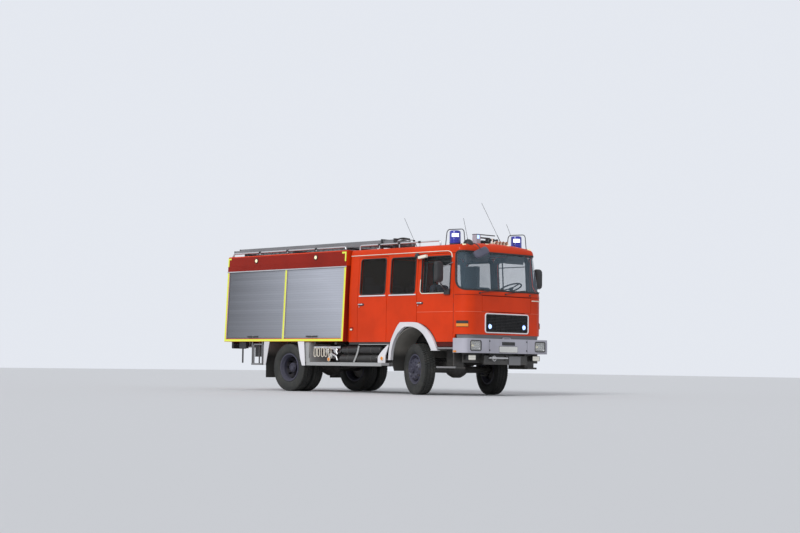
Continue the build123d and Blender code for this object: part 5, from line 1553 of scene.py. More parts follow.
def make_treads_and_sills():
    """Tread plate on the boards and steps, the body's bearers, and the cab's sills and under edges."""
    plates = []
    for side in (-1, 1):
        plates.append(treads((-3.115, -0.705), (0.885, 1.215), BOARD_TOP, side))
        plates.append(treads((0.605, 1.035), (0.905, 1.165), 0.926, side))
        plates.append(treads((0.605, 1.095), (0.905, 1.165), 0.556, side))
        plates.append(treads((-4.985, -4.625), (1.015, 1.225), 0.58, side))
    upright = lozenges((ahead(-3.18), ahead(-0.905)), (0.0, 0.065), 0.0, 0.03, 0.016, 0.006, 0.004)
    upright = upright.turned(FORWARD, math.pi / 2).moved(0, -1.222, 0.551)
    piece("tread_plates", total(plates) + upright.both(), "aluminium")
    bearers = total(
        box((ahead(x) - 0.03, ahead(x) + 0.03), (-1.19, 1.19), (0.985, 1.044))
        for x in (-5.7, -5.1, -4.62, -2.95, -2.3)
    )
    piece("body_bearers", bearers, "chassis", bevel=0.004)
    bars = block((0.59, 1.045), (-1.178, -1.16), (0.892, 0.93)) + block((0.59, 1.1), (-1.178, -1.16),
        (0.528, 0.562))
    for name, shape, finish, bevel in (
        ("entry_step_bars", bars, "dull", 0.004),
        ("cab_sills", block((0.56, 1.045), (-1.134, -1.06), (0.94, 1.03)), "sill", 0.006),
        # The cab sills take the very dark red: painted shade.
        ("cab_under_edges", block((-1.66, -0.77), (-1.138, -1.12), (0.976, 0.992)), "sheet", 0.003),
        ("cab_under_sills", block((-1.955, -0.77), (-1.13, -1.1), (0.98, 1.03)), "chassis", 0.003),
    ):
        piece(name, shape.both(), finish, bevel=bevel)


def make_side_fittings():
    """What hangs along the lower edge: shackles, hose couplings, plates, brackets and marker lamps."""
    loops = []
    for step in range(5):
        loop = rounded(0.07, 0.185 - 0.012 * (step % 2), 0.034, 6)
        y = np.full(len(loop), -1.15 - 0.01 * (step % 2))
        path = np.column_stack((ahead(-2.98 + 0.115 * step) + loop[:, 0], y, 0.822 + loop[:, 1]))
        loops.append(tube(path, 0.0075, 8, True, (0, 1, 0.1)))
    rail = sweep(rounded(0.012, 0.04, 0.004, 3), [(ahead(-3.03), -1.145, 0.925),
        (ahead(-2.2), -1.145, 0.925)], UP)
    piece("hanging_shackles", total(loops), "cream")
    piece("shackle_rail", rail, "aluminium", bevel=0.001)
    coupling = [(0.0, 0.055), (0.02, 0.058), (0.032, 0.05), (0.07, 0.048), (0.085, 0.06), (0.11, 0.06),
        (0.12, 0.046)]
    blocks = [solid(coupling, (ahead(x), -1.02, z), RIGHTWARD, 32)
        for x, z in ((-2.62, 0.85), (-2.53, 0.745), (-2.37, 0.86))]
    for ends in ([(-2.6, 0.93), (-2.47, 0.905), (-2.36, 0.865), (-2.3, 0.78)],
            [(-2.5, 0.8), (-2.42, 0.77), (-2.34, 0.735), (-2.3, 0.66)]):
        blocks.append(tube(curve([(ahead(x), -1.135, z) for x, z in ends], 20), 0.022, 12))
    piece("hose_couplings", total(blocks), "steel", bevel=0.001)

    skirt = block((-3.086, -3.08), (-1.205, -0.64), (0.6, 1.04))
    guard = block((-3.232, -3.086), (-1.212, -1.202), (BOARD_TOP, 1.035))
    frames = total(box((ahead(x), ahead(x) + 0.03), (-1.215, -1.19), (0.548, 1.0))
        for x in (-4.952, -4.615))
    frames = frames + total(block((-4.952, -4.585), (-1.215, -1.19), (z, z + 0.03)) for z in (0.546, 0.972))
    piece("step_frames", frames.both(), "dull", bevel=0.006)
    piece("wheel_guard_plates", skirt.both() + guard.both(), "sheet", bevel=0.001)
    outline = rounded_corners([(ahead(x), z) for x, z in BRACKET], 0.02, 5)
    piece("board_brackets", plate(outline, -1.15, -1.128, "Y").both(), "trim", bevel=0.003)
    places = [(ahead(x), y, z) for x, y, z in ((-0.955, -1.152, 0.705), (-2.53, -1.165, 0.68))]
    cup = [(0, 0.046), (0.01, 0.045), (0.014, 0.038), (0.008, 0.034)]
    marker = [(0.006, 0), (0.006, 0.034), (0.014, 0.031), (0.02, 0.018), (0.021, 0)]
    piece("side_marker_cups", total(solid(cup, place, RIGHTWARD, 36) for place in places).both(), "cream")
    piece("side_markers", total(lathe(marker, place, RIGHTWARD, 36) for place in places).both(), "amber")


def make_chassis():
    """Frame, axles, springs, tanks, boards, steps, liners and the fittings along the lower edge."""
    for node in ("chassis_frame", "axles", "leaf_springs", "powertrain", "right_knuckle", "left_knuckle",
            "tow_coupling"):
        dressed(node, "chassis", 0.003)
    dressed("fuel_tank", "tank", 0.006)
    dressed("wheel_liners", "arch_liner", 0.003)
    make_boards()
    make_arch_trims()
    make_tanks()
    make_treads_and_sills()
    make_side_fittings()


# Roof
BEACON = (0.782, 0.887)


def make_beacons():
    """Two blue beacons with their lit middles, and the bent hoops that guard them."""
    x, y = ahead(BEACON[0]), -BEACON[1]
    base = [(0, 0), (0, 0.111), (0.018, 0.111), (0.024, 0.106), (0.04, 0.106), (0.042, 0.0)]
    dome = [(0.037, 0.106), (0.045, 0.11), (0.06, 0.112), (0.066, 0.1105), (0.258, 0.1085), (0.277, 0.102),
        (0.288, 0.084), (0.291, 0.0)]
    foot = [(-0.01, 0.022), (0.006, 0.022), (0.012, 0.012)]
    lights = []
    for middle in (-0.77, 2.37):
        turn = np.linspace(middle - 0.62, middle + 0.62, 24)
        lights.append(closed_strip([
            np.stack((x + away * np.cos(turn), y + away * np.sin(turn), np.full(24, z)), 1)
            for away, z in ((0.108, 3.066), (0.1125, 3.068), (0.1115, 3.132), (0.107, 3.134))
        ]))
    path = bent([(x - 0.266, y, 2.85), (x - 0.214, y, 3.224), (x + 0.232, y, 3.214), (x + 0.276, y, 2.842)],
        0.075, 8)
    hoop = tube(path, 0.0088, 12, False, LEFTWARD)
    hoop = hoop + solid(foot, (x - 0.262, y, 2.915), UP, 20) + solid(foot, (x + 0.272, y, 2.905), UP, 20)
    lights = total(lights)
    piece("beacon_bases", lathe(base, (x, y, 2.905), UP, 56).both(), "plastic", bevel=0.0015)
    piece("beacon_domes", lathe(dome, (x, y, 2.905), UP, 72).both(), "blue", replaces=["beacons"])
    piece("beacon_lights", lights + lights.moved(0, 2 * BEACON[1], 0), "white_light")
    piece("beacon_guard_hoops", hoop.both(), "plastic", replaces=["beacon_guards"])


HORN_ROW = (0.15, 0.245, 0.34, 0.435)


def make_horns():
    """Four trumpets on their bar, the compressor and its box."""
    bell = [(0.0, 0.0), (0.0, 0.016), (0.04, 0.018), (0.045, 0.0165), (0.2, 0.019), (0.3, 0.0245),
        (0.36, 0.034), (0.393, 0.045), (0.408, 0.0515), (0.412, 0.0505), (0.405, 0.0465), (0.38, 0.036),
        (0.34, 0.026), (0.33, 0.0)]
    mouth = [(0.352, 0.0), (0.352, 0.0275), (0.353, 0.0)]
    bells, mouths = (
        total(lathe(profile, (ahead(0.52), y, 3.0), FORWARD, steps) for y in HORN_ROW)
        for profile, steps in ((bell, 40), (mouth, 28))
    )
    bars = block((0.79, 0.805), (-0.25, 0.231), (3.15, 3.17)) + block((0.78, 0.815), (-0.25, 0.08),
        (3.085, 3.112))
    foot = block((0.67, 0.73), (-0.03, 0.13), (2.905, 2.985))
    rest = block((0.545, 0.6), (0.12, 0.52), (2.905, 2.99))
    knob = [(-0.02, 0.028), (0.02, 0.028)]
    knobs = total(solid(knob, (ahead(0.66), y, 3.085), FORWARD, 20)
        + block((0.65, 0.67), (y - 0.01, y + 0.01), (3.01, 3.08)) for y in HORN_ROW)
    dome = [(-0.12, 0.0), (-0.12, 0.036), (-0.1, 0.048), (0.09, 0.048), (0.115, 0.036), (0.12, 0.0)]
    hose = [(0.655, 0.1, 2.985), (0.6, 0.12, 2.96), (0.51, 0.14, 2.962), (0.497, HORN_ROW[0], 2.985),
        (0.52, HORN_ROW[0], 2.995)]
    post = block((0.86, 0.878), (0.075, 0.093), (2.89, 3.09)) + block((0.854, 0.884), (0.069, 0.099),
        (3.085, 3.097))
    piece("horn_bells", bells, "horn", replaces=["horns"])
    piece("horn_mouths", mouths, "seal")
    piece("horn_case", block((0.745, 0.86), (-0.365, -0.245), (2.892, 3.165)), "silver", bevel=0.006)
    piece("horn_case_lid", block((0.741, 0.864), (-0.369, -0.241), (3.148, 3.158)), "plastic", bevel=0.002)
    piece("horn_case_lens", block((0.858, 0.863), (-0.345, -0.285), (3.07, 3.14)), "blue_light",
        bevel=0.002)
    piece("horn_bars", bars + foot + rest + knobs, "plastic", bevel=0.003)
    piece("horn_compressor", lathe(dome, (ahead(0.7), 0.05, 3.015), LEFTWARD, 36), "seal")
    piece("horn_hose", tube(curve([(ahead(x), y, z) for x, y, z in hose], 26), 0.007, 10), "plastic")
    piece("horn_post", post, "cream", bevel=0.004)


def make_roof_rails():
    """Tubular rails along the roof's edges, on posts with clamps and feet."""
    rails, clamps = [], []
    clamp = [(-0.03, 0.0225), (0.03, 0.0225)]
    foot_line = [(-0.004, 0.03), (0.008, 0.03), (0.012, 0.02)]
    for rear, front, y, z, foot in ((-5.88, -2.1, -1.09, 2.99, 2.926), (-1.85, 0.52, -0.985, 3.005, 2.905)):
        start, end = ahead(rear) + 0.035, ahead(front) - 0.035
        places = [start + share * (end - start) for share in (0.0, 0.25, 0.5, 0.75, 1.0)]
        path = bent([(start, y, foot), (start, y, z), (end, y, z), (end, y, foot)], 0.05, 7)
        rails.append(tube(path, 0.0162, 14, False, LEFTWARD))
        rails += [tube([(x, y, foot), (x, y, z)], 0.011, 12, False, FORWARD) for x in places[1:4]]
        clamps += [solid(clamp, (x, y, z), FORWARD, 20) for x in places[1:4]]
        clamps += [solid(foot_line, (x, y, foot), UP, 20) for x in places]
    piece("roof_rail_tubes", total(rails).both(), "steel", replaces=["roof_rails"])
    piece("roof_rail_clamps", total(clamps).both(), "plastic", bevel=0.001)


def make_ladder_caps():
    """Plastic caps on the ends of both ladders' stiles."""
    caps = []
    for rear, front, y, width, foot, height, thickness in ((-6.04, -0.8, -0.66, 0.52, 2.99, 0.08, 0.03),
            (-5.9, -0.9, -0.66, 0.44, 3.048, 0.056, 0.024)):
        half = thickness / 2 + 0.002
        for side in (-1, 1):
            middle = y + side * (width - thickness) / 2
            for x in (rear, front - 0.03):
                caps.append(box((ahead(x) + 0.0005, ahead(x) + 0.0295), (middle - half, middle + half),
                    (foot - 0.002, foot + height + 0.002)))
    piece("ladder_end_caps", total(caps), "seal", bevel=0.003)


def make_roof():
    """Rails, ladders with their caps, aerials, the vent, the hatch and the small lamps on the roof."""
    make_roof_rails()
    # The ladders take the dark aluminium: painted shade on their sides.
    dressed("extension_ladder", "dull", 0.002, 40.0)
    dressed("plug_ladder", "dull", 0.002, 40.0)
    dressed("ladder_gantry", "plastic", 0.003, 40.0)
    make_ladder_caps()
    dressed("antennas", "plastic", 0.0, 75.0)
    dome = [(-0.02, 0.104), (0.004, 0.105), (0.02, 0.101), (0.06, 0.088), (0.092, 0.062), (0.108, 0.028),
        (0.112, 0.0)]
    piece("roof_vent_dome", lathe(dome, (ahead(1.0), -0.745, 2.915), UP, 48), "plastic")
    lamps, feet = [], []
    for y, z in ((-0.94, 2.89), (-0.3, 2.925), (0.3, 2.925), (0.94, 2.89)):
        lamps.append(block((1.06, 1.088), (y - 0.045, y + 0.045), (z, z + 0.034)))
        feet.append(block((1.03, 1.066), (y - 0.05, y + 0.05), (z - 0.012, z + 0.038)))
    piece("clearance_lamps", total(lamps), "warm", bevel=0.006)
    piece("clearance_lamp_feet", total(feet), "plastic", bevel=0.004)
    work_lamps = tube([(ahead(-1.28), -0.3, 2.93), (ahead(-1.28), -0.3, 3.12)], 0.016, 12, False, FORWARD)
    for line, count, radius in ((((-1.5, 3.15), (-1.29, 3.178), (-1.08, 3.15)), 20, 0.018),
            (((-1.44, 3.112), (-1.29, 3.135), (-1.14, 3.112)), 16, 0.012)):
        path = curve([(ahead(x), -0.3, z) for x, z in line], count)
        work_lamps = work_lamps + tube(path, radius, 12, False, LEFTWARD)
    piece("folded_work_lamps", work_lamps, "seal")
    hatch = rounded(0.62, 0.72, 0.06, 8) + (ahead(-0.35), 0.25)
    piece("roof_hatch", plate(hatch, 2.95, 2.988, "Z"), "red", bevel=0.01)


# Mirrors on the front doors
def make_mirrors():
    """Each door mirror's head, glass, arm, foot and strut."""
    for side, word in SIDES:
        body = f"front_{word}_door"
        shift = 0.0 if side < 0 else 0.11
        x, y, z = ahead(0.84) + shift, -1.38, 2.368 - 0.2 * shift
        case = shell_case(rounded(0.199, 0.405, 0.06, 8), 0.089).moved(x, y, z)
        face = plate(rounded(0.166, 0.372, 0.048, 8) + (y, z), x - 0.0452, x - 0.0432, "X")
        arm = tube(bent([(ahead(0.85), -1.15, 2.01), (ahead(0.846) + shift, -1.29, 2.08), (x, -1.36, 2.19),
            (x, -1.368, 2.225)], 0.06, 7), 0.0155, 14)
        foot = block((0.765, 0.912), (-1.176, -1.128), (1.942, 2.046))
        knuckle = solid([(-0.03, 0.032), (0.03, 0.032)], (ahead(0.85), -1.15, 2.02), UP, 24)
        strut = tube([(x, -1.32, 2.44), (ahead(0.9) + 0.5 * shift, -1.19, 2.515),
            (ahead(0.945), -1.1, 2.565)], 0.0065, 10)
        clip = box((x - 0.022, x + 0.022), (-1.388, -1.352), (2.15, 2.176))
        stripe = lathe([(-0.006, 0.017), (-0.006, 0.0195), (0.006, 0.0195), (0.006, 0.017)],
            (ahead(0.8445), -1.312, 2.115), (0, -0.55, 0.83), 20, True)
        piece(f"{word}_mirror_case", case.on(side), "plastic", body, 0.002, replaces=[f"{word}_mirror"])
        piece(f"{word}_mirror_glass", face.on(side), "mirror", body)
        piece(f"{word}_mirror_arm", (arm + foot + knuckle).on(side), "plastic", body, 0.003)
        piece(f"{word}_mirror_strut", (strut + clip + stripe).on(side), "dull", body)


# Inside the cab
SEATS = ((0.13, 0.62, 0.62, 0.5, 1.64, 2.16), (0.13, 0.62, -0.62, 0.5, 1.64, 2.16),
    (-1.84, -1.38, 0.67, 0.64, 1.56, 2.23), (-1.84, -1.38, 0.0, 0.64, 1.56, 2.23),
    (-1.84, -1.38, -0.67, 0.64, 1.56, 2.23))


def pillow(centre, size, square, channels=0):
    """A stuffed block: a ball stretched to size, its cosines and sines raised to a power, signs kept.

    A sewn channel sinks the surface by depth * exp(-(distance / 8 mm)**2) at its line across the block.
    """
    depth = 0.006
    size = np.asarray(size, float) / 2
    rise = np.linspace(-math.pi / 2, math.pi / 2, 33)[:, None]
    turn = np.linspace(0, 2 * math.pi, 64, endpoint=False)[None]

    def power(value, share):
        return np.sign(value) * np.abs(value) ** share

    flat = power(np.cos(rise), square)
    x = size[0] * flat * power(np.cos(turn), square)
    y = size[1] * flat * power(np.sin(turn), square)
    z = size[2] * power(np.sin(rise), square) * np.ones_like(turn)
    if channels:
        lines = np.linspace(-size[1], size[1], channels + 2)[1:-1]
        sunk = sum(np.exp(-(((y - line) / 0.008) ** 2)) for line in lines)
        z = z * (1 - depth * sunk / size[2])
        x = x * (1 - depth * sunk / size[0])
    points = np.stack((x, y, z), -1) + np.asarray(centre, float)
    return grid(points, wrap_columns=True)


def make_seats():
    """Padded seats on their bases, with head rests at the rear and a belt on each."""
    cushions, backs, rests, bases, belts = [], [], [], [], []
    for rear, front, y, width, cushion_z, back_z in SEATS:
        x = ahead(rear)
        cushion = (ahead((rear + front) / 2) + 0.01, y, cushion_z - 0.052)
        cushions.append(pillow(cushion, (front - rear + 0.02, width, 0.11), 0.3, 4))
        size = (0.12, width - 0.02, back_z - cushion_z + 0.02)
        back = pillow((x + 0.004, y, (cushion_z + back_z) / 2), size, 0.34, 4)
        backs.append(back.turned(LEFTWARD, -0.06, (x, y, cushion_z)))
        bases.append(box((x + 0.03, ahead(front) - 0.05), (y - width / 2 + 0.05, y + width / 2 - 0.05),
            (cushion_z - 0.4, cushion_z - 0.1)))
        if rear < 0:
            rests.append(pillow((x - 0.05, y, back_z + 0.07), (0.07, 0.265, 0.16), 0.42))
            bases += [tube([(x - 0.03, y + shift, back_z - 0.04), (x - 0.046, y + shift, back_z + 0.03)],
                0.006, 8) for shift in (-0.06, 0.06)]
        belts.append(box((x + 0.062, x + 0.066), (y - width / 2 + 0.05, y - width / 2 + 0.1),
            (cushion_z, back_z - 0.05)))
    cushion = piece("seat_cushions", total(cushions), "seat", sharp=70, replaces=["cab_seats"])
    back = piece("seat_backs", total(backs), "seat", sharp=70)
    rest = piece("head_rests", total(rests), "seat", sharp=70)
    piece("seat_bases", total(bases), "lining", bevel=0.006)
    piece("seat_belts", total(belts), "seal", bevel=0.001)


def make_interior():
    """Seats, floor, dashboard, steering wheel, headlining and the fittings round them."""
    make_seats()
    dressed("cab_floor", "liner", 0.004)
    dressed("dashboard", "plastic", 0.008)
    origin = (0, 0, 0)
    column = [(-0.42, 0.03), (-0.03, 0.03), (-0.026, 0.052), (-0.004, 0.055), (0, 0.045)]
    wheel = lathe(circle(0.015, 10) + (0, 0.222), origin, UP, 64, True)
    wheel = wheel + box((0.0, 0.215), (-0.016, 0.016), (-0.02, -0.008)).ring(3, UP, origin)
    wheel = wheel + solid(column, origin, UP, 32)
    wheel = wheel.turned(LEFTWARD, -0.398).moved(ahead(0.9), 0.6, 2.135)
    piece("driver_wheel", wheel, "plastic", sharp=40, replaces=["steering_wheel"])
    ring = [(0, 0.05), (-0.012, 0.052), (-0.012, 0.046), (-0.004, 0.044)]
    gauges = total(solid(ring, (ahead(1.058), y, 1.955), (-1, 0, 0.25), 32) for y in (0.52, 0.66, 0.8))
    piece("gauges", gauges, "grey")
    lining = [(-1.9, -0.94), (0.98, -0.94), (0.98, 0.94), (-1.9, 0.94)]
    outline = rounded_corners([(ahead(x), y) for x, y in lining], 0.1, 6)
    piece("head_lining", plate(outline, 2.8, 2.808, "Z"), "lining")
    visor = box((0, 0.014), (-0.26, 0.26), (-0.17, 0.0)).turned(LEFTWARD, 0.35)
    piece("sun_visors", total(visor.moved(ahead(1.11), y, 2.765) for y in (-0.52, 0.52)), "plastic",
        bevel=0.005)
    piece("screen_fan", pillow((ahead(1.09), -0.86, 2.64), (0.06, 0.17, 0.17), 0.6), "plastic", sharp=60)
    trim = block((0.4, 0.98), (-0.3, 0.28), (1.44, 1.56)) + block((0.52, 0.7), (-0.12, 0.1), (1.56, 1.68))
    piece("engine_cover_trim", trim, "lining", bevel=0.02)
    piece("apparatus_locker", block(LOCKER, (0.985, 1.085), (1.9, 2.64)), "lining", bevel=0.02)


# Rear end
def make_tail_lamps():
    """A case on each side with three round lamps, each a rim and a lens."""
    rear = ahead(BODY_REAR)
    x = rear + 0.01
    rim = [(-0.002, 0.055), (0.002, 0.054), (0.003, 0.048), (0.001, 0.046)]
    dome = [(0.001, 0), (0.001, 0.047), (0.0025, 0.046), (0.0035, 0.03), (0.0038, 0)]
    lenses = {"ruby": [], "amber": [], "clear": []}
    cases, rims = [], []
    for side in (-1, 1):
        y = side * 0.86
        cases.append(plate(rounded(0.368, 0.13, 0.024, 6) + (y, 0.962), x + 0.002, x + 0.074, "X"))
        for shift, finish in ((-0.118, "ruby"), (0.0, "clear"), (0.118, "amber")):
            place = (x + 0.004, y + side * shift, 0.962)
            rims.append(solid(rim, place, BACKWARD, 36))
            lenses[finish].append(lathe(dome, place, BACKWARD, 36))
        cases += [box((rear + 0.04, rear + 0.06), (y + shift - 0.015, y + shift + 0.015), (1.02, 1.045))
            for shift in (-0.11, 0.11)]
    piece("tail_lamp_cases", total(cases), "plastic", bevel=0.003, replaces=["tail_lamps"])
    piece("tail_lamp_rims", total(rims), "grey")
    for finish, shapes in lenses.items():
        piece(f"tail_lamp_lenses_{finish}", total(shapes), finish)


def make_rear():
    """Tail lamps, blank plate, the rear shutter's bar and guides, the band, and the fittings below."""
    make_tail_lamps()
    rear = ahead(BODY_REAR)
    blank = plate(rounded(0.52, 0.112, 0.01, 4) + (0.38, 0.96), rear + 0.012, rear + 0.015, "X")
    back = plate(rounded(0.536, 0.128, 0.012, 4) + (0.38, 0.96), rear + 0.0145, rear + 0.022, "X")
    hangers = total(box((rear + 0.016, rear + 0.03), (y - 0.015, y + 0.015), (0.99, 1.045))
        for y in (0.22, 0.54))
    piece("rear_plate_blank", blank, "plate", bevel=0.001)
    piece("rear_plate_back", back + hangers, "plastic", bevel=0.002)
    place = (ahead(-5.775), -0.85, 0.965)
    coupling = [(0.0, 0.052), (0.02, 0.052), (0.026, 0.06), (0.05, 0.06), (0.054, 0.048), (0.06, 0.048)]
    pipe = tube([place, (ahead(-5.775), -0.5, 0.965)], 0.04, 20, False, UP)
    piece("rear_water_coupling", solid(coupling, place, RIGHTWARD, 36) + pipe, "aluminium", bevel=0.002)
    drop_bar = block((-5.345, -5.315), (-1.205, -1.18), (0.584, 0.9))
    drop_bar = drop_bar + block((-5.44, -5.22), (-1.205, -1.12), (0.9, 1.044))
    piece("rear_drop_bar", drop_bar, "plastic", bevel=0.004)
    strip = total(box((rear - 0.004, rear + 0.004), (y - 0.012, y + 0.012), (1.11, 2.56))
        for y in (-0.815, 0.815))
    piece("rear_shutter_guides", strip, "aluminium", bevel=0.002)
    bow = [(rear + shift, y, 1.16) for shift, y in ((0.004, -0.16), (-0.02, -0.16), (-0.02, 0.16),
        (0.004, 0.16))]
    piece("rear_lift_bar", sweep(rounded(0.016, 0.024, 0.006, 3), bent(bow, 0.012, 5), UP), "plastic")
    piece("rear_band", box((rear - 0.003, rear + 0.002), (-1.155, 1.155), (2.622, 2.87)), "band",
        bevel=0.002)
    lamp = [(0, 0.045), (0.012, 0.043), (0.016, 0.02)]
    lamps = total(solid(lamp, (rear - 0.002, y, 2.75), BACKWARD, 32) for y in (-0.98, 0.98))
    piece("rear_flash_lamps", lamps, "blue_light")


# Stage
CAMERA_PLACE = (24.97498, -23.57914, 0.5659)
CAMERA_YAW, CAMERA_PITCH, CAMERA_ROLL = 0.800942, 0.060747, 0.01266
CAMERA_LENS = 73.33


def make_camera():
    """The camera at the photograph's viewing angle: yaw, pitch and roll of its line of sight."""
    yaw, pitch, roll = CAMERA_YAW, CAMERA_PITCH, CAMERA_ROLL
    sight = np.array((-math.sin(yaw) * math.cos(pitch), math.cos(yaw) * math.cos(pitch), math.sin(pitch)))
    right = np.array((math.cos(yaw), math.sin(yaw), 0.0))
    up = np.cross(right, sight)
    matrix = np.identity(4)
    matrix[:3, 0] = math.cos(roll) * right + math.sin(roll) * up
    matrix[:3, 1] = -math.sin(roll) * right + math.cos(roll) * up
    matrix[:3, 2], matrix[:3, 3] = -sight, CAMERA_PLACE
    data = bpy.data.cameras.new("Camera")
    data.lens = CAMERA_LENS
    data.sensor_width = 36.0
    data.clip_end = 400.0
    camera = bpy.data.objects.new("Camera", data)
    bpy.context.scene.collection.objects.link(camera)
    camera.matrix_world = matrix.T.tolist()
    bpy.context.scene.camera = camera


def make_sun(strength):
    """One broad sun that shines from ahead, from the right and from above."""
    data = bpy.data.lights.new("Broad sun", "SUN")
    data.energy = strength
    data.angle = math.radians(22)
    sun = bpy.data.objects.new("Broad sun", data)
    towards = np.array((0.24, -0.8, 0.55))
    tilt = math.acos(towards[2] / np.linalg.norm(towards))
    sun.rotation_euler = (0.0, tilt, math.atan2(towards[1], towards[0]))
    bpy.context.scene.collection.objects.link(sun)


def make_world(strength):
    """A world that lights evenly, and shows a pale backdrop to the camera, in gloss and through glass."""
    world = bpy.data.worlds.new("Studio")
    bpy.context.scene.world = world
    world.use_nodes = True
    tree = world.node_tree
    tree.nodes.clear()
    output, mixer, lit, shown, rays, either, every = (tree.nodes.new("ShaderNode" + kind) for kind in (
        "OutputWorld", "MixShader", "Background", "Background", "LightPath", "Math", "Math"))
    for background, colour, level in ((lit, (0.94, 0.96, 1.0, 1.0), strength),
            (shown, (0.78, 0.81, 0.87, 1.0), 1.0)):
        background.inputs["Color"].default_value = colour
        background.inputs["Strength"].default_value = level
    either.operation = every.operation = "MAXIMUM"
    for source, socket, node, entry in (
        (rays, "Is Camera Ray", either, 0), (rays, "Is Glossy Ray", either, 1),
        (either, 0, every, 0), (rays, "Is Transmission Ray", every, 1),
        (every, 0, mixer, 0), (lit, 0, mixer, 1), (shown, 0, mixer, 2), (mixer, 0, output, 0),
    ):
        tree.links.new(source.outputs[socket], node.inputs[entry])


def make_stage(settings):
    """Camera, lights and a plain pale floor."""
    finish = Finish("studio_floor", (0.66, 0.67, 0.69), 0.85)
    half = 90.0
    corners = Shape([(-half, -half, 0), (half, -half, 0), (half, half, 0), (-half, half, 0)],
        [(0, 1, 2, 3)])
    mesh = to_mesh("floor", corners)
    mesh.materials.append(finish.material)
    floor = bpy.data.objects.new("floor", mesh)
    bpy.context.scene.collection.objects.link(floor)
    make_camera()
    make_sun(settings.sun)
    make_world(settings.sky)
    bpy.context.scene.view_settings.view_transform = "Standard"


# The add-on
def colour(name, default, description):
    return FloatVectorProperty(name=name, default=default, description=description, subtype="COLOR", size=3,
        min=0.0, max=1.0)


class FireEngineSettings(PropertyGroup):
    """Sizes, colours and light levels that suit another vehicle of this kind."""

    paint: colour("Body paint", (0.65, 0.043, 0.005), "Linear colour of the cab and superstructure")
    band: colour("Band paint", (0.265, 0.014, 0.006), "Linear colour of the band along the roof's edge")
    bumper_paint: colour("Bumper paint", (0.43, 0.425, 0.485),
        "Linear colour of the bumper and the horns' box")
    rim_paint: colour("Rim paint", (0.06, 0.06, 0.088), "Linear colour of the rims and hubs")
    tape: colour("Contour tape", (0.753, 0.831, 0.061), "Linear colour of the contour tape")
    tape_width: FloatProperty(name="Tape width", default=0.047, min=0.02, max=0.1, unit="LENGTH",
        description="Width of the contour tape")
    tread_pitches: IntProperty(name="Tread pitches", default=60, min=30, max=90,
        description="Number of tread blocks round a tyre")
    tread_depth: FloatProperty(name="Tread depth", default=0.0135, min=0.004, max=0.02, unit="LENGTH",
        description="Depth of the tread's grooves")
    sun: FloatProperty(name="Sun", default=1.8, min=0.0, max=5.0, description="Strength of the broad sun")
    sky: FloatProperty(name="Sky", default=0.58, min=0.0, max=2.0, description="Strength of the even light")


class FIRE_OT_finishes(Operator):
    """Make every finish of the vehicle"""

    bl_idname = "fire.finishes"
    bl_label = "Finishes"

    def execute(self, context):
        finishes.update(make_finishes(context.scene.fire_engine))
        return {"FINISHED"}


class FIRE_OT_wheels(Operator):
    """Build the tyres with their tread, the rims and the hubs"""

    bl_idname = "fire.wheels"
    bl_label = "Wheels"

    def execute(self, context):
        make_wheels(context.scene.fire_engine)
        return {"FINISHED"}


class FIRE_OT_body(Operator):
    """Build the superstructure with its shutters, tape and lamps"""

    bl_idname = "fire.body"
    bl_label = "Superstructure"

    def execute(self, context):
        make_body(context.scene.fire_engine)
        return {"FINISHED"}


class FIRE_OT_cab(Operator):
    """Build the cab's panels, glass, seals and rain rails"""

    bl_idname = "fire.cab"
    bl_label = "Cab"

    def execute(self, context):
        make_cab()
        return {"FINISHED"}


class FIRE_OT_doors(Operator):
    """Build the four doors with their handles and seals"""

    bl_idname = "fire.doors"
    bl_label = "Doors"

    def execute(self, context):
        make_doors()
        return {"FINISHED"}


class FIRE_OT_front(Operator):
    """Build the grille, the corner lamps, the wipers and the kerb mirror"""

    bl_idname = "fire.front"
    bl_label = "Front"

    def execute(self, context):
        make_front()
        return {"FINISHED"}


class FIRE_OT_bumper(Operator):
    """Build the bumper with its lamps, blank plate and towing pin"""

    bl_idname = "fire.bumper"
    bl_label = "Bumper"

    def execute(self, context):
        make_bumper()
        return {"FINISHED"}


class FIRE_OT_chassis(Operator):
    """Build the frame, axles, tanks, boards, steps and arches"""

    bl_idname = "fire.chassis"
    bl_label = "Chassis"

    def execute(self, context):
        make_chassis()
        return {"FINISHED"}


class FIRE_OT_beacons(Operator):
    """Build the blue beacons and their guards"""

    bl_idname = "fire.beacons"
    bl_label = "Beacons"

    def execute(self, context):
        make_beacons()
        return {"FINISHED"}


class FIRE_OT_horns(Operator):
    """Build the air horns and their compressor"""

    bl_idname = "fire.horns"
    bl_label = "Air horns"

    def execute(self, context):
        make_horns()
        return {"FINISHED"}


class FIRE_OT_roof(Operator):
    """Build the roof's rails, ladders, aerials and small lamps"""

    bl_idname = "fire.roof"
    bl_label = "Roof"

    def execute(self, context):
        make_roof()
        return {"FINISHED"}


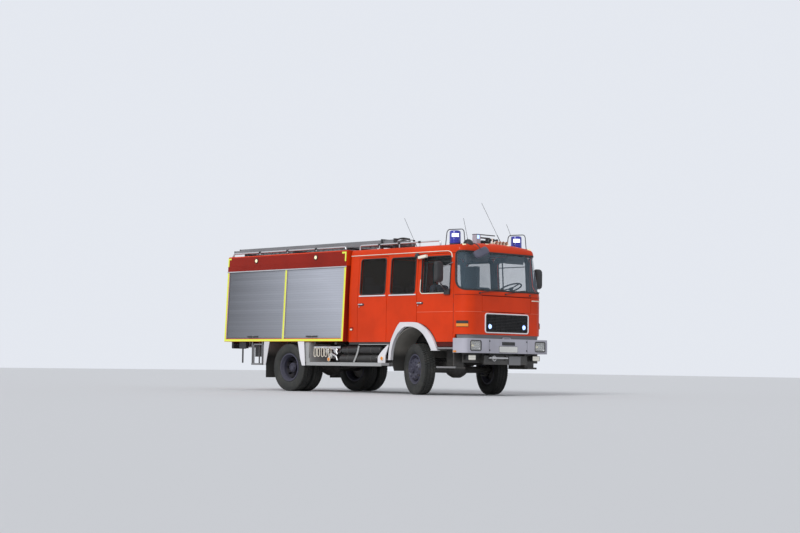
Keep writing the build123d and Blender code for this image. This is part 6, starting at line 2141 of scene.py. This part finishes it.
class FIRE_OT_mirrors(Operator):
    """Build the mirrors on the front doors"""

    bl_idname = "fire.mirrors"
    bl_label = "Mirrors"

    def execute(self, context):
        make_mirrors()
        return {"FINISHED"}


class FIRE_OT_interior(Operator):
    """Build the seats, the dashboard and the lining"""

    bl_idname = "fire.interior"
    bl_label = "Interior"

    def execute(self, context):
        make_interior()
        return {"FINISHED"}


class FIRE_OT_rear(Operator):
    """Build the tail lamps, the blank plate and the rear fittings"""

    bl_idname = "fire.rear"
    bl_label = "Rear end"

    def execute(self, context):
        make_rear()
        return {"FINISHED"}


class FIRE_OT_stage(Operator):
    """Set up the camera, the lights and the floor"""

    bl_idname = "fire.stage"
    bl_label = "Stage"

    def execute(self, context):
        make_stage(context.scene.fire_engine)
        return {"FINISHED"}


OPERATORS = (FIRE_OT_finishes, FIRE_OT_wheels, FIRE_OT_body, FIRE_OT_cab, FIRE_OT_doors, FIRE_OT_front,
    FIRE_OT_bumper, FIRE_OT_chassis, FIRE_OT_beacons, FIRE_OT_horns, FIRE_OT_roof, FIRE_OT_mirrors,
    FIRE_OT_interior, FIRE_OT_rear, FIRE_OT_stage)


class FIRE_PT_sidebar(Panel):
    """Lists the settings and the pieces"""

    bl_idname = "FIRE_PT_sidebar"
    bl_label = "Fire engine"
    bl_space_type = "VIEW_3D"
    bl_region_type = "UI"
    bl_category = "Fire engine"

    def draw(self, context):
        for name in FireEngineSettings.__annotations__:
            self.layout.prop(context.scene.fire_engine, name)
        for operator in OPERATORS:
            self.layout.operator(operator.bl_idname)


CLASSES = (FireEngineSettings, *OPERATORS, FIRE_PT_sidebar)


def register():
    for each in CLASSES:
        bpy.utils.register_class(each)
    bpy.types.Scene.fire_engine = PointerProperty(type=FireEngineSettings)


def unregister():
    del bpy.types.Scene.fire_engine
    for each in reversed(CLASSES):
        bpy.utils.unregister_class(each)


def main():
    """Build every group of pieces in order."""
    register()
    for operator in OPERATORS:
        group, name = operator.bl_idname.split(".")
        getattr(getattr(bpy.ops, group), name)()


if __name__ == "__main__":
    main()
